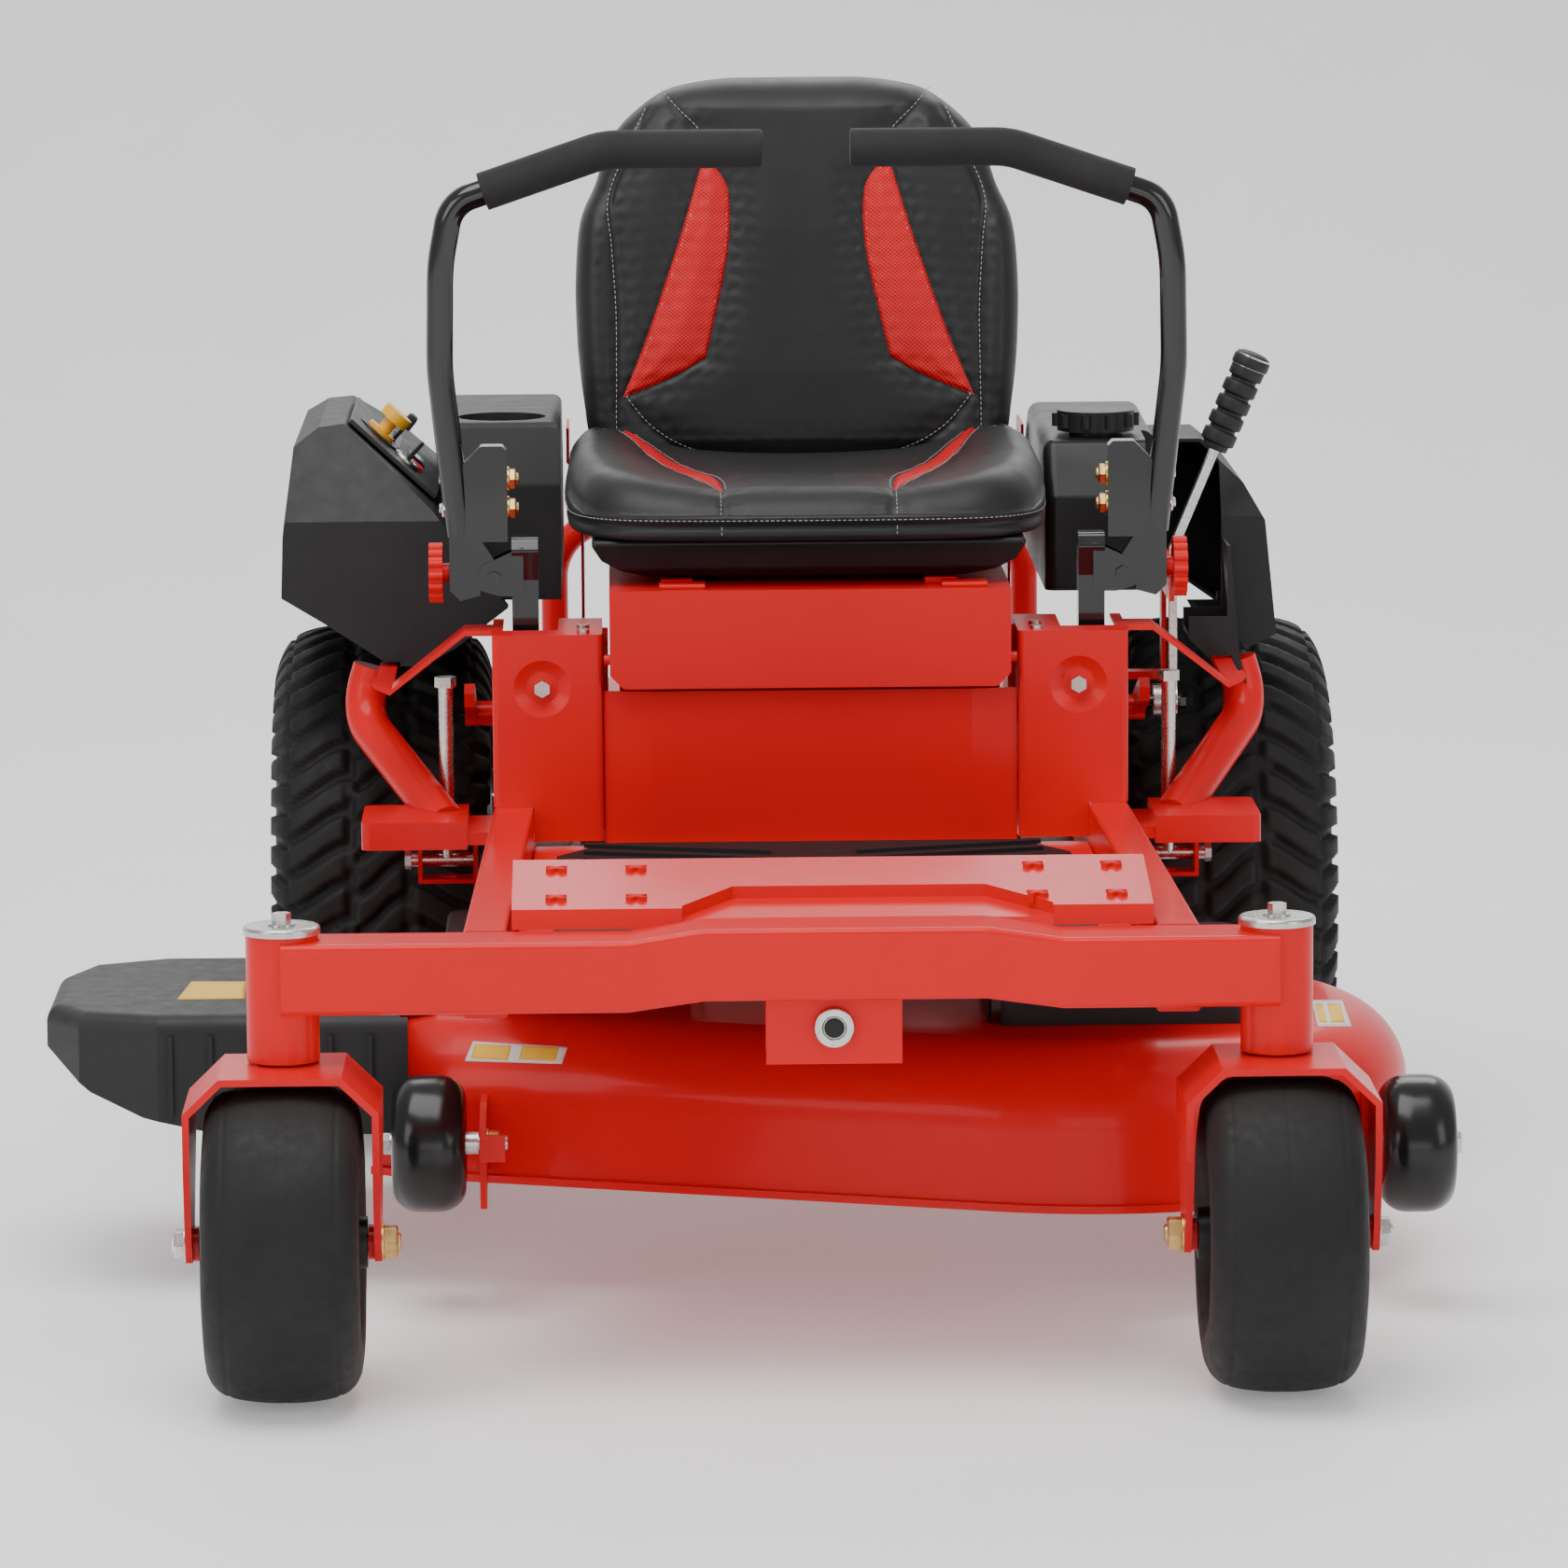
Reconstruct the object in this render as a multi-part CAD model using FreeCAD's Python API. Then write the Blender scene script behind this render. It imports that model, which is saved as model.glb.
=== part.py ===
import FreeCAD, Part
import os, math

# Zero-turn riding lawn mower. Millimetres. Built about the rear axle:
# X = the operator's left, Y = rearward, Z = up, mid-plane X = 0, ground Z = 0,
# then shifted so that the origin is the bottom centre of the bounding box.
SHIFT_X, SHIFT_Y = 69.0, 465.03

# Driving dimensions
R_FRONT, W_FRONT = 136.0, 134.0      # front caster tyre, 11 in class
R_REAR, W_REAR = 254.0, 209.0        # rear drive tyre, 20 in class
X_REAR = 415.5                       # rear wheel centre from mid-plane
X_CAST = {"right": -469.0, "left": 378.5}   # caster pivots
Y_CAST, LEAD = -1225.0, 45.0         # pivot, and axle ahead of it
Y_AXF = Y_CAST - LEAD
R_TUBE, R_SPIN = 31.0, 12.7          # caster tube, spindle
RUN = 0.05                           # radial running clearance
RAIL_W, RAIL_Z0, RAIL_Z1 = 38.0, 314.0, 390.0
RAIL_XF, RAIL_XR = 316.0, 300.0      # outer face, front and rear
Y_BEAM0, Y_BEAM1 = -1263.0, -1193.0
Y_COL, COL_X0, COL_X1, COL_TOP = -470.0, 196.0, 300.0, 554.0
C1, R1 = (-250.0, -540.0), 275.0     # right-hand cutting chamber
C2, R2 = (250.0, -700.0), 290.0      # left-hand cutting chamber
DECK_Z0, DECK_Z1, DECK_T = 98.0, 242.0, 3.0
R_BLADE = 252.0
LAP_R, GRIP_R = 12.7, 18.2
TILT = (-470.0, 530.0)               # seat tilt axis, Y and Z
ARM = (-400.0, 500.0)                # control arm axis, Y and Z
SWING = (298.0, 602.0)               # lap bar swing axis, X and Z
ROCK = (-243.0, 450.0)               # rockshaft axis, Y and Z
LEVER = (-215.0, 452.0)              # height lever axis, Y and Z
CHUTE = (-392.0, 264.0)              # chute hinge, X and Z
LINK = (-1206.0, 313.0)              # front link eye, Y and Z

V = FreeCAD.Vector
os.makedirs("parts", exist_ok=True)


def box(x0, x1, y0, y1, z0, z1):
    return Part.makeBox(x1 - x0, y1 - y0, z1 - z0, V(x0, y0, z0))


def cyl(p, d, r, h):
    return Part.makeCylinder(r, h, V(*p), V(*d))


def ring(p, d, r, ri, h):
    return cyl(p, d, r, h).cut(cyl([a - 1 * b for a, b in zip(p, d)], d, ri, h + 2))


def face(pts):
    return Part.Face(Part.makePolygon([V(*p) for p in pts] + [V(*pts[0])]))


def prism_y(pts, y0, y1):
    return face([(x, y0, z) for x, z in pts]).extrude(V(0, y1 - y0, 0))


def prism_x(pts, x0, x1):
    return face([(x0, y, z) for y, z in pts]).extrude(V(x1 - x0, 0, 0))


def prism_z(pts, z0, z1):
    return face([(x, y, z0) for x, y in pts]).extrude(V(0, 0, z1 - z0))


def fuse(*s):
    a = s[0]
    for b in s[1:]:
        a = a.fuse(b)
    return a.removeSplitter()


def cut(a, *s):
    for b in s:
        a = a.cut(b)
    return a


def group(*s):
    return Part.makeCompound([x for a in s for x in (a.Solids if a.Solids else [a])])


def mirror(s):
    return s.mirror(V(0, 0, 0), V(1, 0, 0))


def both(s):
    return group(s, mirror(s))


def rnd(s, r, pick=None):
    e = [x for x in s.Edges if pick is None or pick(x)]
    try:
        f = s.makeFillet(r, e)
        if f.isValid() and f.Volume > 0:
            return f
    except Exception:
        pass
    return s


def along(axis, tol=0.02):
    a = V(*axis)

    def ok(e):
        if not isinstance(e.Curve, Part.Line):
            return False
        return abs(abs(e.Curve.Direction.dot(a)) - 1) < tol
    return ok


def inset(pts, t):
    """Polygon moved inwards by t (outwards if negative), any winding."""
    n = len(pts)
    area = sum(pts[i][0] * pts[(i + 1) % n][1] - pts[(i + 1) % n][0] * pts[i][1] for i in range(n))
    s = 1 if area > 0 else -1
    out = []
    for i in range(n):
        p0, p1, p2 = pts[i - 1], pts[i], pts[(i + 1) % n]
        a = (p1[0] - p0[0], p1[1] - p0[1])
        b = (p2[0] - p1[0], p2[1] - p1[1])
        la, lb = math.hypot(*a), math.hypot(*b)
        na, nb = (-a[1] / la * s, a[0] / la * s), (-b[1] / lb * s, b[0] / lb * s)
        m = (na[0] + nb[0], na[1] + nb[1])
        k = t / (1 + na[0] * nb[0] + na[1] * nb[1])
        out.append((p1[0] + m[0] * k, p1[1] + m[1] * k))
    return out


def pipe(pts, r, bends, ri=0.0):
    """Round tube through pts, with each inner corner bent to the radius given."""
    pts = [V(*p) for p in pts]
    edges, last = [], pts[0]
    for i in range(1, len(pts) - 1):
        a, b = (last - pts[i]), (pts[i + 1] - pts[i])
        a = (pts[i - 1] - pts[i])
        a.normalize()
        b.normalize()
        half = math.acos(max(-1, min(1, a.dot(b)))) / 2
        d = bends[i - 1] / math.tan(half)
        p, q = pts[i] + a * d, pts[i] + b * d
        c = a + b
        c.normalize()
        mid = pts[i] + c * (bends[i - 1] / math.sin(half) - bends[i - 1])
        edges.append(Part.LineSegment(last, p).toShape())
        edges.append(Part.Arc(p, mid, q).toShape())
        last = q
    edges.append(Part.LineSegment(last, pts[-1]).toShape())
    path = Part.Wire(edges)
    d = pts[1] - pts[0]

    def sweep(rad):
        return path.makePipeShell([Part.Wire(Part.Circle(pts[0], d, rad).toShape())], True, False)
    s = sweep(r)
    if ri:
        s = s.cut(sweep(ri))
    return s


def lathe(pts, c, smooth=()):
    """Ring about the X axis through c, from (x, radius) points; smooth holds (i, j) runs drawn as one spline."""
    P = [V(c[0] + x, c[1], c[2] + r) for x, r in pts]
    n, edges, i = len(P), [], 0
    runs = dict(smooth)
    while i < n:
        if i in runs:
            j = runs[i]
            b = Part.BSplineCurve()
            b.interpolate(P[i:j + 1])
            edges.append(b.toShape())
            i = j
        else:
            edges.append(Part.LineSegment(P[i], P[(i + 1) % n]).toShape())
            i += 1
        if i == n - 1 and i not in runs:
            edges.append(Part.LineSegment(P[i], P[0]).toShape())
            break
    f = Part.Face(Part.Wire(edges))
    return f.revolve(V(c[0], c[1], c[2]), V(1, 0, 0), 360)


def hexa(p, d, af, h):
    """Hexagon head or nut, centred at p, along d."""
    r = af / math.sqrt(3)
    d = V(*d)
    u = V(0, 0, 1) if abs(d.z) < 0.5 else V(1, 0, 0)
    w = d.cross(u)
    pts = [V(*p) + u * (r * math.cos(k * math.pi / 3)) + w * (r * math.sin(k * math.pi / 3)) for k in range(6)]
    return Part.Face(Part.makePolygon(pts + [pts[0]])).extrude(d * h)


NAMES = []


def save(name, s):
    s = s.copy()
    s.translate(V(SHIFT_X, SHIFT_Y, 0))
    s.exportStep("parts/%s.step" % name)
    NAMES.append(name)
    b = s.optimalBoundingBox()
    print("%-18s %2d solids ok=%s  x %.0f..%.0f y %.0f..%.0f z %.1f..%.1f" % (
        name, len(s.Solids), s.isValid(), b.XMin, b.XMax, b.YMin, b.YMax, b.ZMin, b.ZMax))
    SHAPES[name] = s


SHAPES = {}

# ---- casters
for side, px in X_CAST.items():
    y, ya = Y_CAST, Y_AXF
    prof = [(px - 83, 122), (px - 83, 254), (px - 52, 284), (px + 52, 284), (px + 83, 254), (px + 83, 122),
            (px + 77, 122), (px + 77, 251.5), (px + 49.5, 278), (px - 49.5, 278), (px - 77, 251.5), (px - 77, 122)]
    strap = prism_y(prof, y - 85, y + 42)
    sidecut = prism_x([(y - 85, 290), (y + 42, 290), (y + 42, 236), (ya + 24, 138), (ya + 14, 122),
                       (ya - 14, 122), (ya - 24, 138), (y - 85, 205)], px - 90, px + 90)
    strap = strap.common(sidecut)
    spindle = cyl((px, y, 283.5), (0, 0, 1), R_SPIN, 118)
    collar = cyl((px, y, 283.5), (0, 0, 1), 22, 2.2)
    axle = cyl((px - 88, ya, R_FRONT), (1, 0, 0), 8, 176)
    out = -1 if side == "right" else 1
    head = hexa((px + out * 83, ya, R_FRONT), (out, 0, 0), 20, 9)
    nut = hexa((px - out * 83, ya, R_FRONT), (-out, 0, 0), 22, 13)
    sp1 = ring((px - 77, ya, R_FRONT), (1, 0, 0), 15, 7.9, 5)
    sp2 = ring((px + 72, ya, R_FRONT), (1, 0, 0), 15, 7.9, 5)
    save("caster_fork_" + side, fuse(strap, spindle, collar, axle, head, nut, sp1, sp2))
    w = W_FRONT / 2
    tread = [(-52, 66), (-w + 6, 78), (-w, 98), (-w + 5, 118), (-44, 131.5), (0, R_FRONT), (44, 131.5),
             (w - 5, 118), (w, 98), (w - 6, 78), (52, 66)]
    save("tyre_front_" + side, lathe(tread, (px, ya, R_FRONT), {0: 10}.items()))
    rim = [(-71, 8 + RUN), (-71, 22), (-30, 24), (-26, 52), (-50, 56), (-56, 64), (-52, 65.7), (52, 65.7), (56, 64), (50, 56),
           (26, 52), (30, 24), (71, 22), (71, 8 + RUN)]
    save("rim_front_" + side, lathe(rim, (px, ya, R_FRONT)))

# ---- drive wheels
for side, s in (("right", -1), ("left", 1)):
    cx, w = s * X_REAR, W_REAR / 2
    tread = [(-86, 104), (-w + 4, 130), (-w, 175), (-w + 7, 222), (-w + 24, 245), (-44, 252.6), (0, R_REAR), (44, 252.6), (w - 24, 245),
             (w - 7, 222), (w, 175), (w - 4, 130), (86, 104)]
    save("tyre_rear_" + side, lathe(tread, (cx, 0, R_REAR), {0: 12}.items()))
    k = s
    rim = [(-95 * k, 106), (-95 * k, 98), (-80 * k, 92), (20 * k, 88), (24 * k, 30), (-20 * k, 28), (-92 * k, 26),
           (-92 * k, 15 + RUN), (32 * k, 15 + RUN), (32 * k, 30), (30 * k, 92), (80 * k, 92), (95 * k, 98), (95 * k, 106),
           (86 * k, 103.7), (-86 * k, 103.7)]
    r = lathe(rim, (cx, 0, R_REAR))
    lugs = [hexa((cx + k * 24, 50 * math.cos(a), R_REAR + 50 * math.sin(a)), (k, 0, 0), 19, 12)
            for a in [i * 2 * math.pi / 5 for i in range(5)]]
    save("rim_rear_" + side, fuse(r, *lugs))

# ---- front beam and caster tubes
xr, xl = X_CAST["right"], X_CAST["left"]
top = [(xr, 390), (-175, 390), (-110, 400), (130, 400), (195, 390), (xl, 390)]
bot = [(xl, 329), (195, 329), (130, 338), (-110, 338), (-175, 329), (xr, 329)]
beam = rnd(prism_y(top + bot, Y_BEAM0, Y_BEAM1), 6, lambda e: abs(e.BoundBox.YLength) < 0.1 and e.BoundBox.XLength > 50)
inner = prism_y([(xr + 34, 386), (-175, 386), (-110, 396), (130, 396), (195, 386), (xl - 34, 386),
                 (xl - 34, 333), (195, 333), (130, 342), (-110, 342), (-175, 333), (xr + 34, 333)], Y_BEAM0 + 4, Y_BEAM1 - 4)
beam = beam.cut(inner)
for px in (xr, xl):
    beam = beam.fuse(cyl((px, Y_CAST, 286.2), (0, 0, 1), R_TUBE, 108.8))
    beam = beam.cut(cyl((px, Y_CAST, 280), (0, 0, 1), 25, 130))
plate = box(-58, 58, -1246, -1240, 281, 339).cut(cyl((0, -1250, 313), (0, 1, 0), 10, 20))
ears = fuse(box(-58, -53, -1240, -1200, 290, 339), box(53, 58, -1240, -1200, 290, 339))
save("front_beam", fuse(beam, plate, ears))
bush = []
for px in (xr, xl):
    for z in (286.4, 375):
        bush.append(ring((px, Y_CAST, z), (0, 0, 1), 25, R_SPIN + RUN, 18))
    cap = cyl((px, Y_CAST, 395.2), (0, 0, 1), 33, 7)
    cap = cap.cut(cyl((px, Y_CAST, 394), (0, 0, 1), 26, 8.01))
    cap = rnd(cap, 3, lambda e: e.BoundBox.ZMin > 402 and e.BoundBox.XLength > 60)
    cap = fuse(cap, cyl((px, Y_CAST, 402.1), (0, 0, 1), 12, 1.6), hexa((px, Y_CAST, 403.6), (0, 0, 1), 14, 9))
    bush.append(cap)
save("caster_bearings", group(*bush))

# ---- chassis rails with cross members
def rail_pts(g=0.0):
    return [(RAIL_XF + g, Y_BEAM1 + 0.1), (RAIL_XR + g, Y_COL), (RAIL_XR + g, 360), (RAIL_XR - RAIL_W - g, 360),
            (RAIL_XR - RAIL_W - g, Y_COL), (RAIL_XF - RAIL_W - g, Y_BEAM1 + 0.1)]


rail = rnd(prism_z(rail_pts(), RAIL_Z0, RAIL_Z1), 4, lambda e: e.BoundBox.ZLength < 0.1 and e.BoundBox.YLength > 100)
rail_env = prism_z(rail_pts(0.1), RAIL_Z0, RAIL_Z1 + 0.1)
cross = [box(-262, 262, y0, y0 + 40, 316, 346) for y0 in (-1000, -462, -120, 60, 345)]
chassis = [rail, mirror(rail)] + cross
pan = prism_z([(-275, -1188), (275, -1188), (260.5, -471), (-260.5, -471)], 349, 353)
mat = prism_z([(-192, -478), (192, -478), (240, -560), (240, -1030), (-240, -1030), (-240, -560)], 353, 357)
ribs = []
for sgn in (-1, 1):
    for i in range(11):
        y0 = -560 - i * 42
        ribs.append(prism_z([(sgn * 40, y0), (sgn * 215, y0 + 52), (sgn * 215, y0 + 66), (sgn * 40, y0 + 14)], 356.9, 360.5))
save("floor_mat", mat.fuse([r for r in ribs if r.BoundBox.YMin > -1025]).removeSplitter())


# ---- toe plate, a formed sheet with its centre stepped back
def toe(t):
    body = prism_x([(-1191 + t, 390.2), (-1187 + t, 407 - t), (-1049, 429 - t), (-1041 - t, 421 - t), (-1041 - t, 390.2)],
                   -274 + t, 276 - t)
    notch = prism_z([(-128 - t, -1200), (-128 - t, -1180), (-84 - t, -1128 + t), (134 + t, -1128 + t), (190 + t, -1180), (190 + t, -1200)],
                    385, 440)
    low = prism_x([(-1191 + t, 390.2), (-1187 + t, 397 - t), (-1120, 407 - t), (-1120, 390.2)], -274 + t, 276 - t)
    return body.cut(notch).fuse(low)


tp = toe(0).cut(toe(3).fuse(box(-271, 273, -1188, -1044, 388, 392)))
marks = []
for cx in (-236, -167, 178, 246):
    for cy in (-1158, -1078):
        z = 407 + (cy + 1187) * 22 / 138 - 2
        m = fuse(*[prism_z([(cx + 11 * math.cos(a) + 3 * math.sin(a), cy + 11 * math.sin(a) - 3 * math.cos(a)),
                            (cx + 11 * math.cos(a) - 3 * math.sin(a), cy + 11 * math.sin(a) + 3 * math.cos(a)),
                            (cx - 11 * math.cos(a) - 3 * math.sin(a), cy - 11 * math.sin(a) + 3 * math.cos(a)),
                            (cx - 11 * math.cos(a) + 3 * math.sin(a), cy - 11 * math.sin(a) - 3 * math.cos(a))], z - 4, z + 4.5)
                   for a in (0.9, 2.24)])
        marks.append(m)
tp = tp.fuse(marks).cut(box(-270.5, 272.5, -1187, -1045, 385, 396)).removeSplitter()
save("toe_plate", tp)

# ---- seat pedestals and front panel
def pedestal():
    o = box(COL_X0, COL_X1, Y_COL, -340, 357.5, COL_TOP)
    o = rnd(o, 6, lambda e: along((0, 0, 1))(e) and e.BoundBox.YMax < -460)
    i = box(COL_X0 + 3, COL_X1 - 3, Y_COL + 3, -339, 350, COL_TOP - 3)
    s = o.cut(i).cut(rail_env)
    s = s.cut(box(238, 290, -432, -339, 540, 560))
    dim = Part.makeCone(27, 15, 5, V(253, Y_COL - 0.01, 503), V(0, 1, 0))
    s = s.cut(dim).fuse(Part.makeCone(29, 17, 5, V(253, Y_COL + 3, 503), V(0, 1, 0)).cut(
        Part.makeCone(27, 15, 5, V(253, Y_COL - 0.01, 503), V(0, 1, 0))))
    s = s.fuse(box(190.6, 196.5, -400, -397, 357.5, 552))
    return s.removeSplitter()


ped = pedestal()
save("seat_pedestals", both(ped))
fp = prism_z([(-195, -462), (-152, -469), (152, -469), (195, -462), (195, -459), (152, -466), (-152, -466), (-195, -459)], 355, 499.5)
bulk = box(-180, 180, -438, -435, 353.2, 545)
save("floor_pan", group(bulk, fuse(cut(pan, rail_env, mirror(rail_env)), fp.fuse(box(-195, 195, -471, -462, 349, 355.1).cut(box(-195, 195, -471, -466, 353, 356))))))
bolts = []
for s in (-1, 1):
    bolts.append(hexa((s * 253, Y_COL + 4.9, 503), (0, -1, 0), 14, 9))
    bolts.append(cyl((s * 199.2, ARM[0], ARM[1]), (s, 0, 0), 8, 97.5))
    for x, y in ((214, -455), (214, -420)):
        bolts.append(cyl((s * x, y, COL_TOP + 0.1), (0, 0, 1), 6, 3.5))
eye = ring((0, -1247, 313), (0, -1, 0), 16.5, 7, 3).fuse(cyl((0, -1252, 313), (0, 1, 0), 9, 6))
bolts.append(eye)
save("frame_bolts", group(*bolts))

# ---- side brackets: foot pads, bent tubes, straps, height quadrant
pad = rnd(box(325, 425, -480, -360, 352, 378), 8, lambda e: along((0, 0, 1))(e) and e.BoundBox.XMin > 420)
pad = fuse(pad, box(300.2, 326, -478, -366, 356, 368))
tube = pipe([(419, -240, 496), (433, -240, 450), (347, -398, 365)], 19.5, [45]).cut(box(200, 500, -600, -200, 300, 378.1))
strap = prism_y([(300.2, 548), (326, 548), (398, 492), (412, 498.5), (415, 503), (396, 498), (327, 553), (300.2, 553)], -425, -375)
strap2 = prism_y([(395, 494), (412, 496.2), (412, 500), (395, 499)], -376, -232)
quad = prism_x([(-300, 560), (-150, 560), (-140, 585)] + [(-150 - i * 10 + (0 if i % 2 else 4), 600 - (8 if i % 2 else 0)) for i in range(15)]
               + [(-300, 585)], 350, 355)
qarm = fuse(box(350, 355, -190, -165, 470, 562), box(306, 355, -190, -170, 470, 478), box(300.2, 306, -190, -160, 391, 478))
save("side_brackets", group(fuse(pad, tube), fuse(mirror(pad), mirror(tube)), fuse(strap, strap2), fuse(mirror(strap), mirror(strap2)), fuse(quad, qarm)))


# ---- consoles: moulded shells, open underneath
arch = {s: cyl((k * 300 if k > 0 else -540, 0, R_REAR), (1, 0, 0), 284, 240) for s, k in (("left", 1), ("right", -1))}
CON_R = [(-506, 566), (-504, 625), (-494, 708), (-470, 726), (-445, 729), (-358, 648), (-287, 555), (-337, 517), (-369, 499), (-400, 499), (-463, 540)]
CON_SIDE = [(-262, 480), (-262, 640), (-190, 740), (60, 740), (215, 690), (240, 640), (240, 480)]


def con_right(t):
    s = prism_y(inset(CON_R, t), -262 + t, 240 - t).common(prism_x(inset(CON_SIDE, t), -520, -280))
    low = prism_y([(-520, 480), (-300, 480), (-300, 548), (-520, 548)], -120 - t, 260)
    s = s.cut(low).cut(cyl((-540, 0, R_REAR), (1, 0, 0), 290 + t, 260))
    s = s.cut(box(-351.5 - t, -200, -205.5 - t, 260, 480, 760))
    return s.cut(box(-360 - t, -270, -235 - t, 260, 480, 580))


cr = con_right(0)
cri = con_right(3.5)
openb = prism_y([(-460, 490), (-380, 490), (-380, 506), (-395, 506), (-455, 548)], -240, -130)
cr = cr.cut(cri)
save("console_right", cr.cut(box(-418, -392, -300, -229, 480, 503.5)))


def mould(t):
    s = box(-351 + t, -236 - t, -205 + t, 240 - t, 556, 727 - t)
    s = s.common(prism_x(inset([(-205, 540), (-205, 668), (-178, 729), (110, 729), (240, 640), (240, 540)], t), -360, -200))
    return s.cut(cyl((-400, 0, R_REAR), (1, 0, 0), 290 + t, 200))


m = rnd(mould(0), 10, lambda e: e.BoundBox.ZMax > 665 and (along((1, 0, 0))(e) or (along((0, 1, 0))(e) and e.BoundBox.ZMin > 720)))
m = m.cut(mould(3.5)).cut(box(-347, -240, -200, 236, 540, 560))
cup = cyl((-293, -120, 655), (0, 0, 1), 43, 75)
m = m.fuse(cyl((-293, -120, 652), (0, 0, 1), 46, 74.9)).cut(cup).removeSplitter()
m = m.cut(box(-400, -200, -210, 245, 720, 800).cut(box(-400, -200, -210, 245, 720, 727)))
save("cup_moulding", m)

CON_L = [(325, 560), (335, 609), (418, 609), (424, 640), (452, 625), (463, 513), (428, 475), (402, 489)]


def con_left(t):
    s = prism_y(inset([(330, 560), (338, 612), (412, 609), (421, 502), (428, 475), (402, 489)], t), -262 + t, -180 - t)
    b = prism_y(inset([(351, 560), (351, 690), (400, 690), (432, 660), (452, 625), (463, 513), (436, 500)], t), -184 + t, 240 - t)
    b = b.common(prism_x(inset([(-200, 460), (-200, 600), (-150, 690), (90, 700), (240, 640), (240, 460)], t), 300, 480))
    s = s.fuse(b)
    low = prism_y([(300, 440), (480, 440), (480, 548), (300, 548)], -120 - t, 150)
    return s.cut(low).cut(cyl((300, 0, R_REAR), (1, 0, 0), 290 + t, 240))


slot = box(340.5, 409, -310, -30, 540, 760).fuse(box(340.5, 372, -310, -100, 400, 541))
room = pipe([(419, -240, 496), (433, -240, 450), (347, -398, 365)], 20.4, [45]).fuse(box(392, 414, -300, -229, 480, 502))
room = room.fuse(cyl((419, -240, 490), (0, 0, 1), 20.4, 12))
cl = con_left(0).cut(con_left(3.5)).cut(slot).cut(room).cut(box(300, 349, -300, -178, 440, 760)).removeSplitter()
save("console_left", max(cl.Solids, key=lambda x: x.Volume))

tank = prism_x([(-205, 560), (-205, 650), (-170, 704), (140, 712), (225, 660), (225, 560)], 236, 349)
tank = rnd(tank, 12, lambda e: e.BoundBox.ZMax > 600)
tank = tank.cut(cyl((200, 0, R_REAR), (1, 0, 0), 290, 200)).cut(box(335.5, 350, -310, -100, 540, 760))
tank = tank.fuse(cyl((290, -120, 700), (0, 0, 1), 26, 15)).cut(cyl((290, -120, 690), (0, 0, 1), 22, 30)).removeSplitter()
save("fuel_tank", tank)
cap = cyl((290, -120, 709), (0, 0, 1), 38, 20).cut(cyl((290, -120, 702), (0, 0, 1), 26.3, 14))
grips = [cyl((290 + 38 * math.cos(a), -120 + 38 * math.sin(a), 713), (0, 0, 1), 5, 13) for a in [i * math.pi / 5 for i in range(10)]]
save("fuel_cap", fuse(cap, *grips))

# control panel on the slanted inner face of the right-hand console
ca, sa = 87 / math.hypot(87, 81), 81 / math.hypot(87, 81)
pn = [(-441.5, 729), (-359, 652.2), (-355.6, 655.8), (-438, 732.6)]
panel = rnd(prism_y(pn, -184, 40), 1.2)
save("control_panel", panel)
PK = (-414.0, -120.0, 708.0)
nrm = (sa, 0, ca)
boot = cyl((PK[0], PK[1], PK[2] + 3.0), nrm, 15, 6)
knobc = fuse(cyl((PK[0] + nrm[0] * 7, PK[1], PK[2] + 3.0 + nrm[2] * 5), nrm, 7, 16),
             cyl((PK[0] + nrm[0] * 20, PK[1], PK[2] + 1.2 + nrm[2] * 20), nrm, 15, 11))
save("pto_knob", rnd(fuse(boot, knobc), 3, lambda e: e.BoundBox.ZMin > PK[2] + 18))

# ---- engine and drive
eng = fuse(cyl((0, 262, 420), (0, 0, 1), 118, 110), box(-70, 70, 300, 397, 440, 520), cyl((0, 262, 380), (0, 0, 1), 14, 42))
for s in (-1, 1):
    for i in range(6):
        eng = eng.fuse(box(min(s * 60, s * 165), max(s * 60, s * 165), 262 - 50, 262 + 50, 446 + i * 13, 451 + i * 13))
    eng = eng.fuse(box(min(s * 60, s * 158), max(s * 60, s * 158), 262 - 38, 262 + 38, 446, 516))
save("engine_block", eng.fuse(cyl((0, 262, 305), (0, 0, 1), 14, 80)).removeSplitter())
plate = box(-262, 262, 90, 430, 391, 396).cut(cyl((0, 262, 380), (0, 0, 1), 60, 30))
save("chassis_rails", group(*chassis, fuse(plate, *[box(s * 250 - 6, s * 250 + 6, 100, 420, 396, 410) for s in (-1, 1)])))
bl = fuse(rnd(cyl((0, 262, 531), (0, 0, 1), 140, 82), 18, lambda e: e.BoundBox.ZMin > 605), box(-172, 172, 205, 320, 531, 575))
bl = bl.cut(cyl((0, 262, 525), (0, 0, 1), 112, 60)).cut(box(-168, 168, 209, 316, 520, 571))
scr = ring((0, 262, 613), (0, 0, 1), 84, 72, 12).fuse(cyl((0, 262, 618), (0, 0, 1), 84, 7))
save("blower_housing", group(bl.fuse(scr).removeSplitter(), rnd(box(-95, 95, 322, 408, 535, 605), 14, lambda e: e.BoundBox.ZMax > 540).cut(cyl((0, 262, 520), (0, 0, 1), 141, 100))))
muf = rnd(cyl((-85, 432, 440), (1, 0, 0), 32, 170), 8)
save("muffler", fuse(muf, cyl((60, 410, 440), (0, -1, 0), 9, 12.5), cyl((70, 440, 425), (0.6, 0.3, -0.74), 13, 24)))
trans = []
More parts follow.
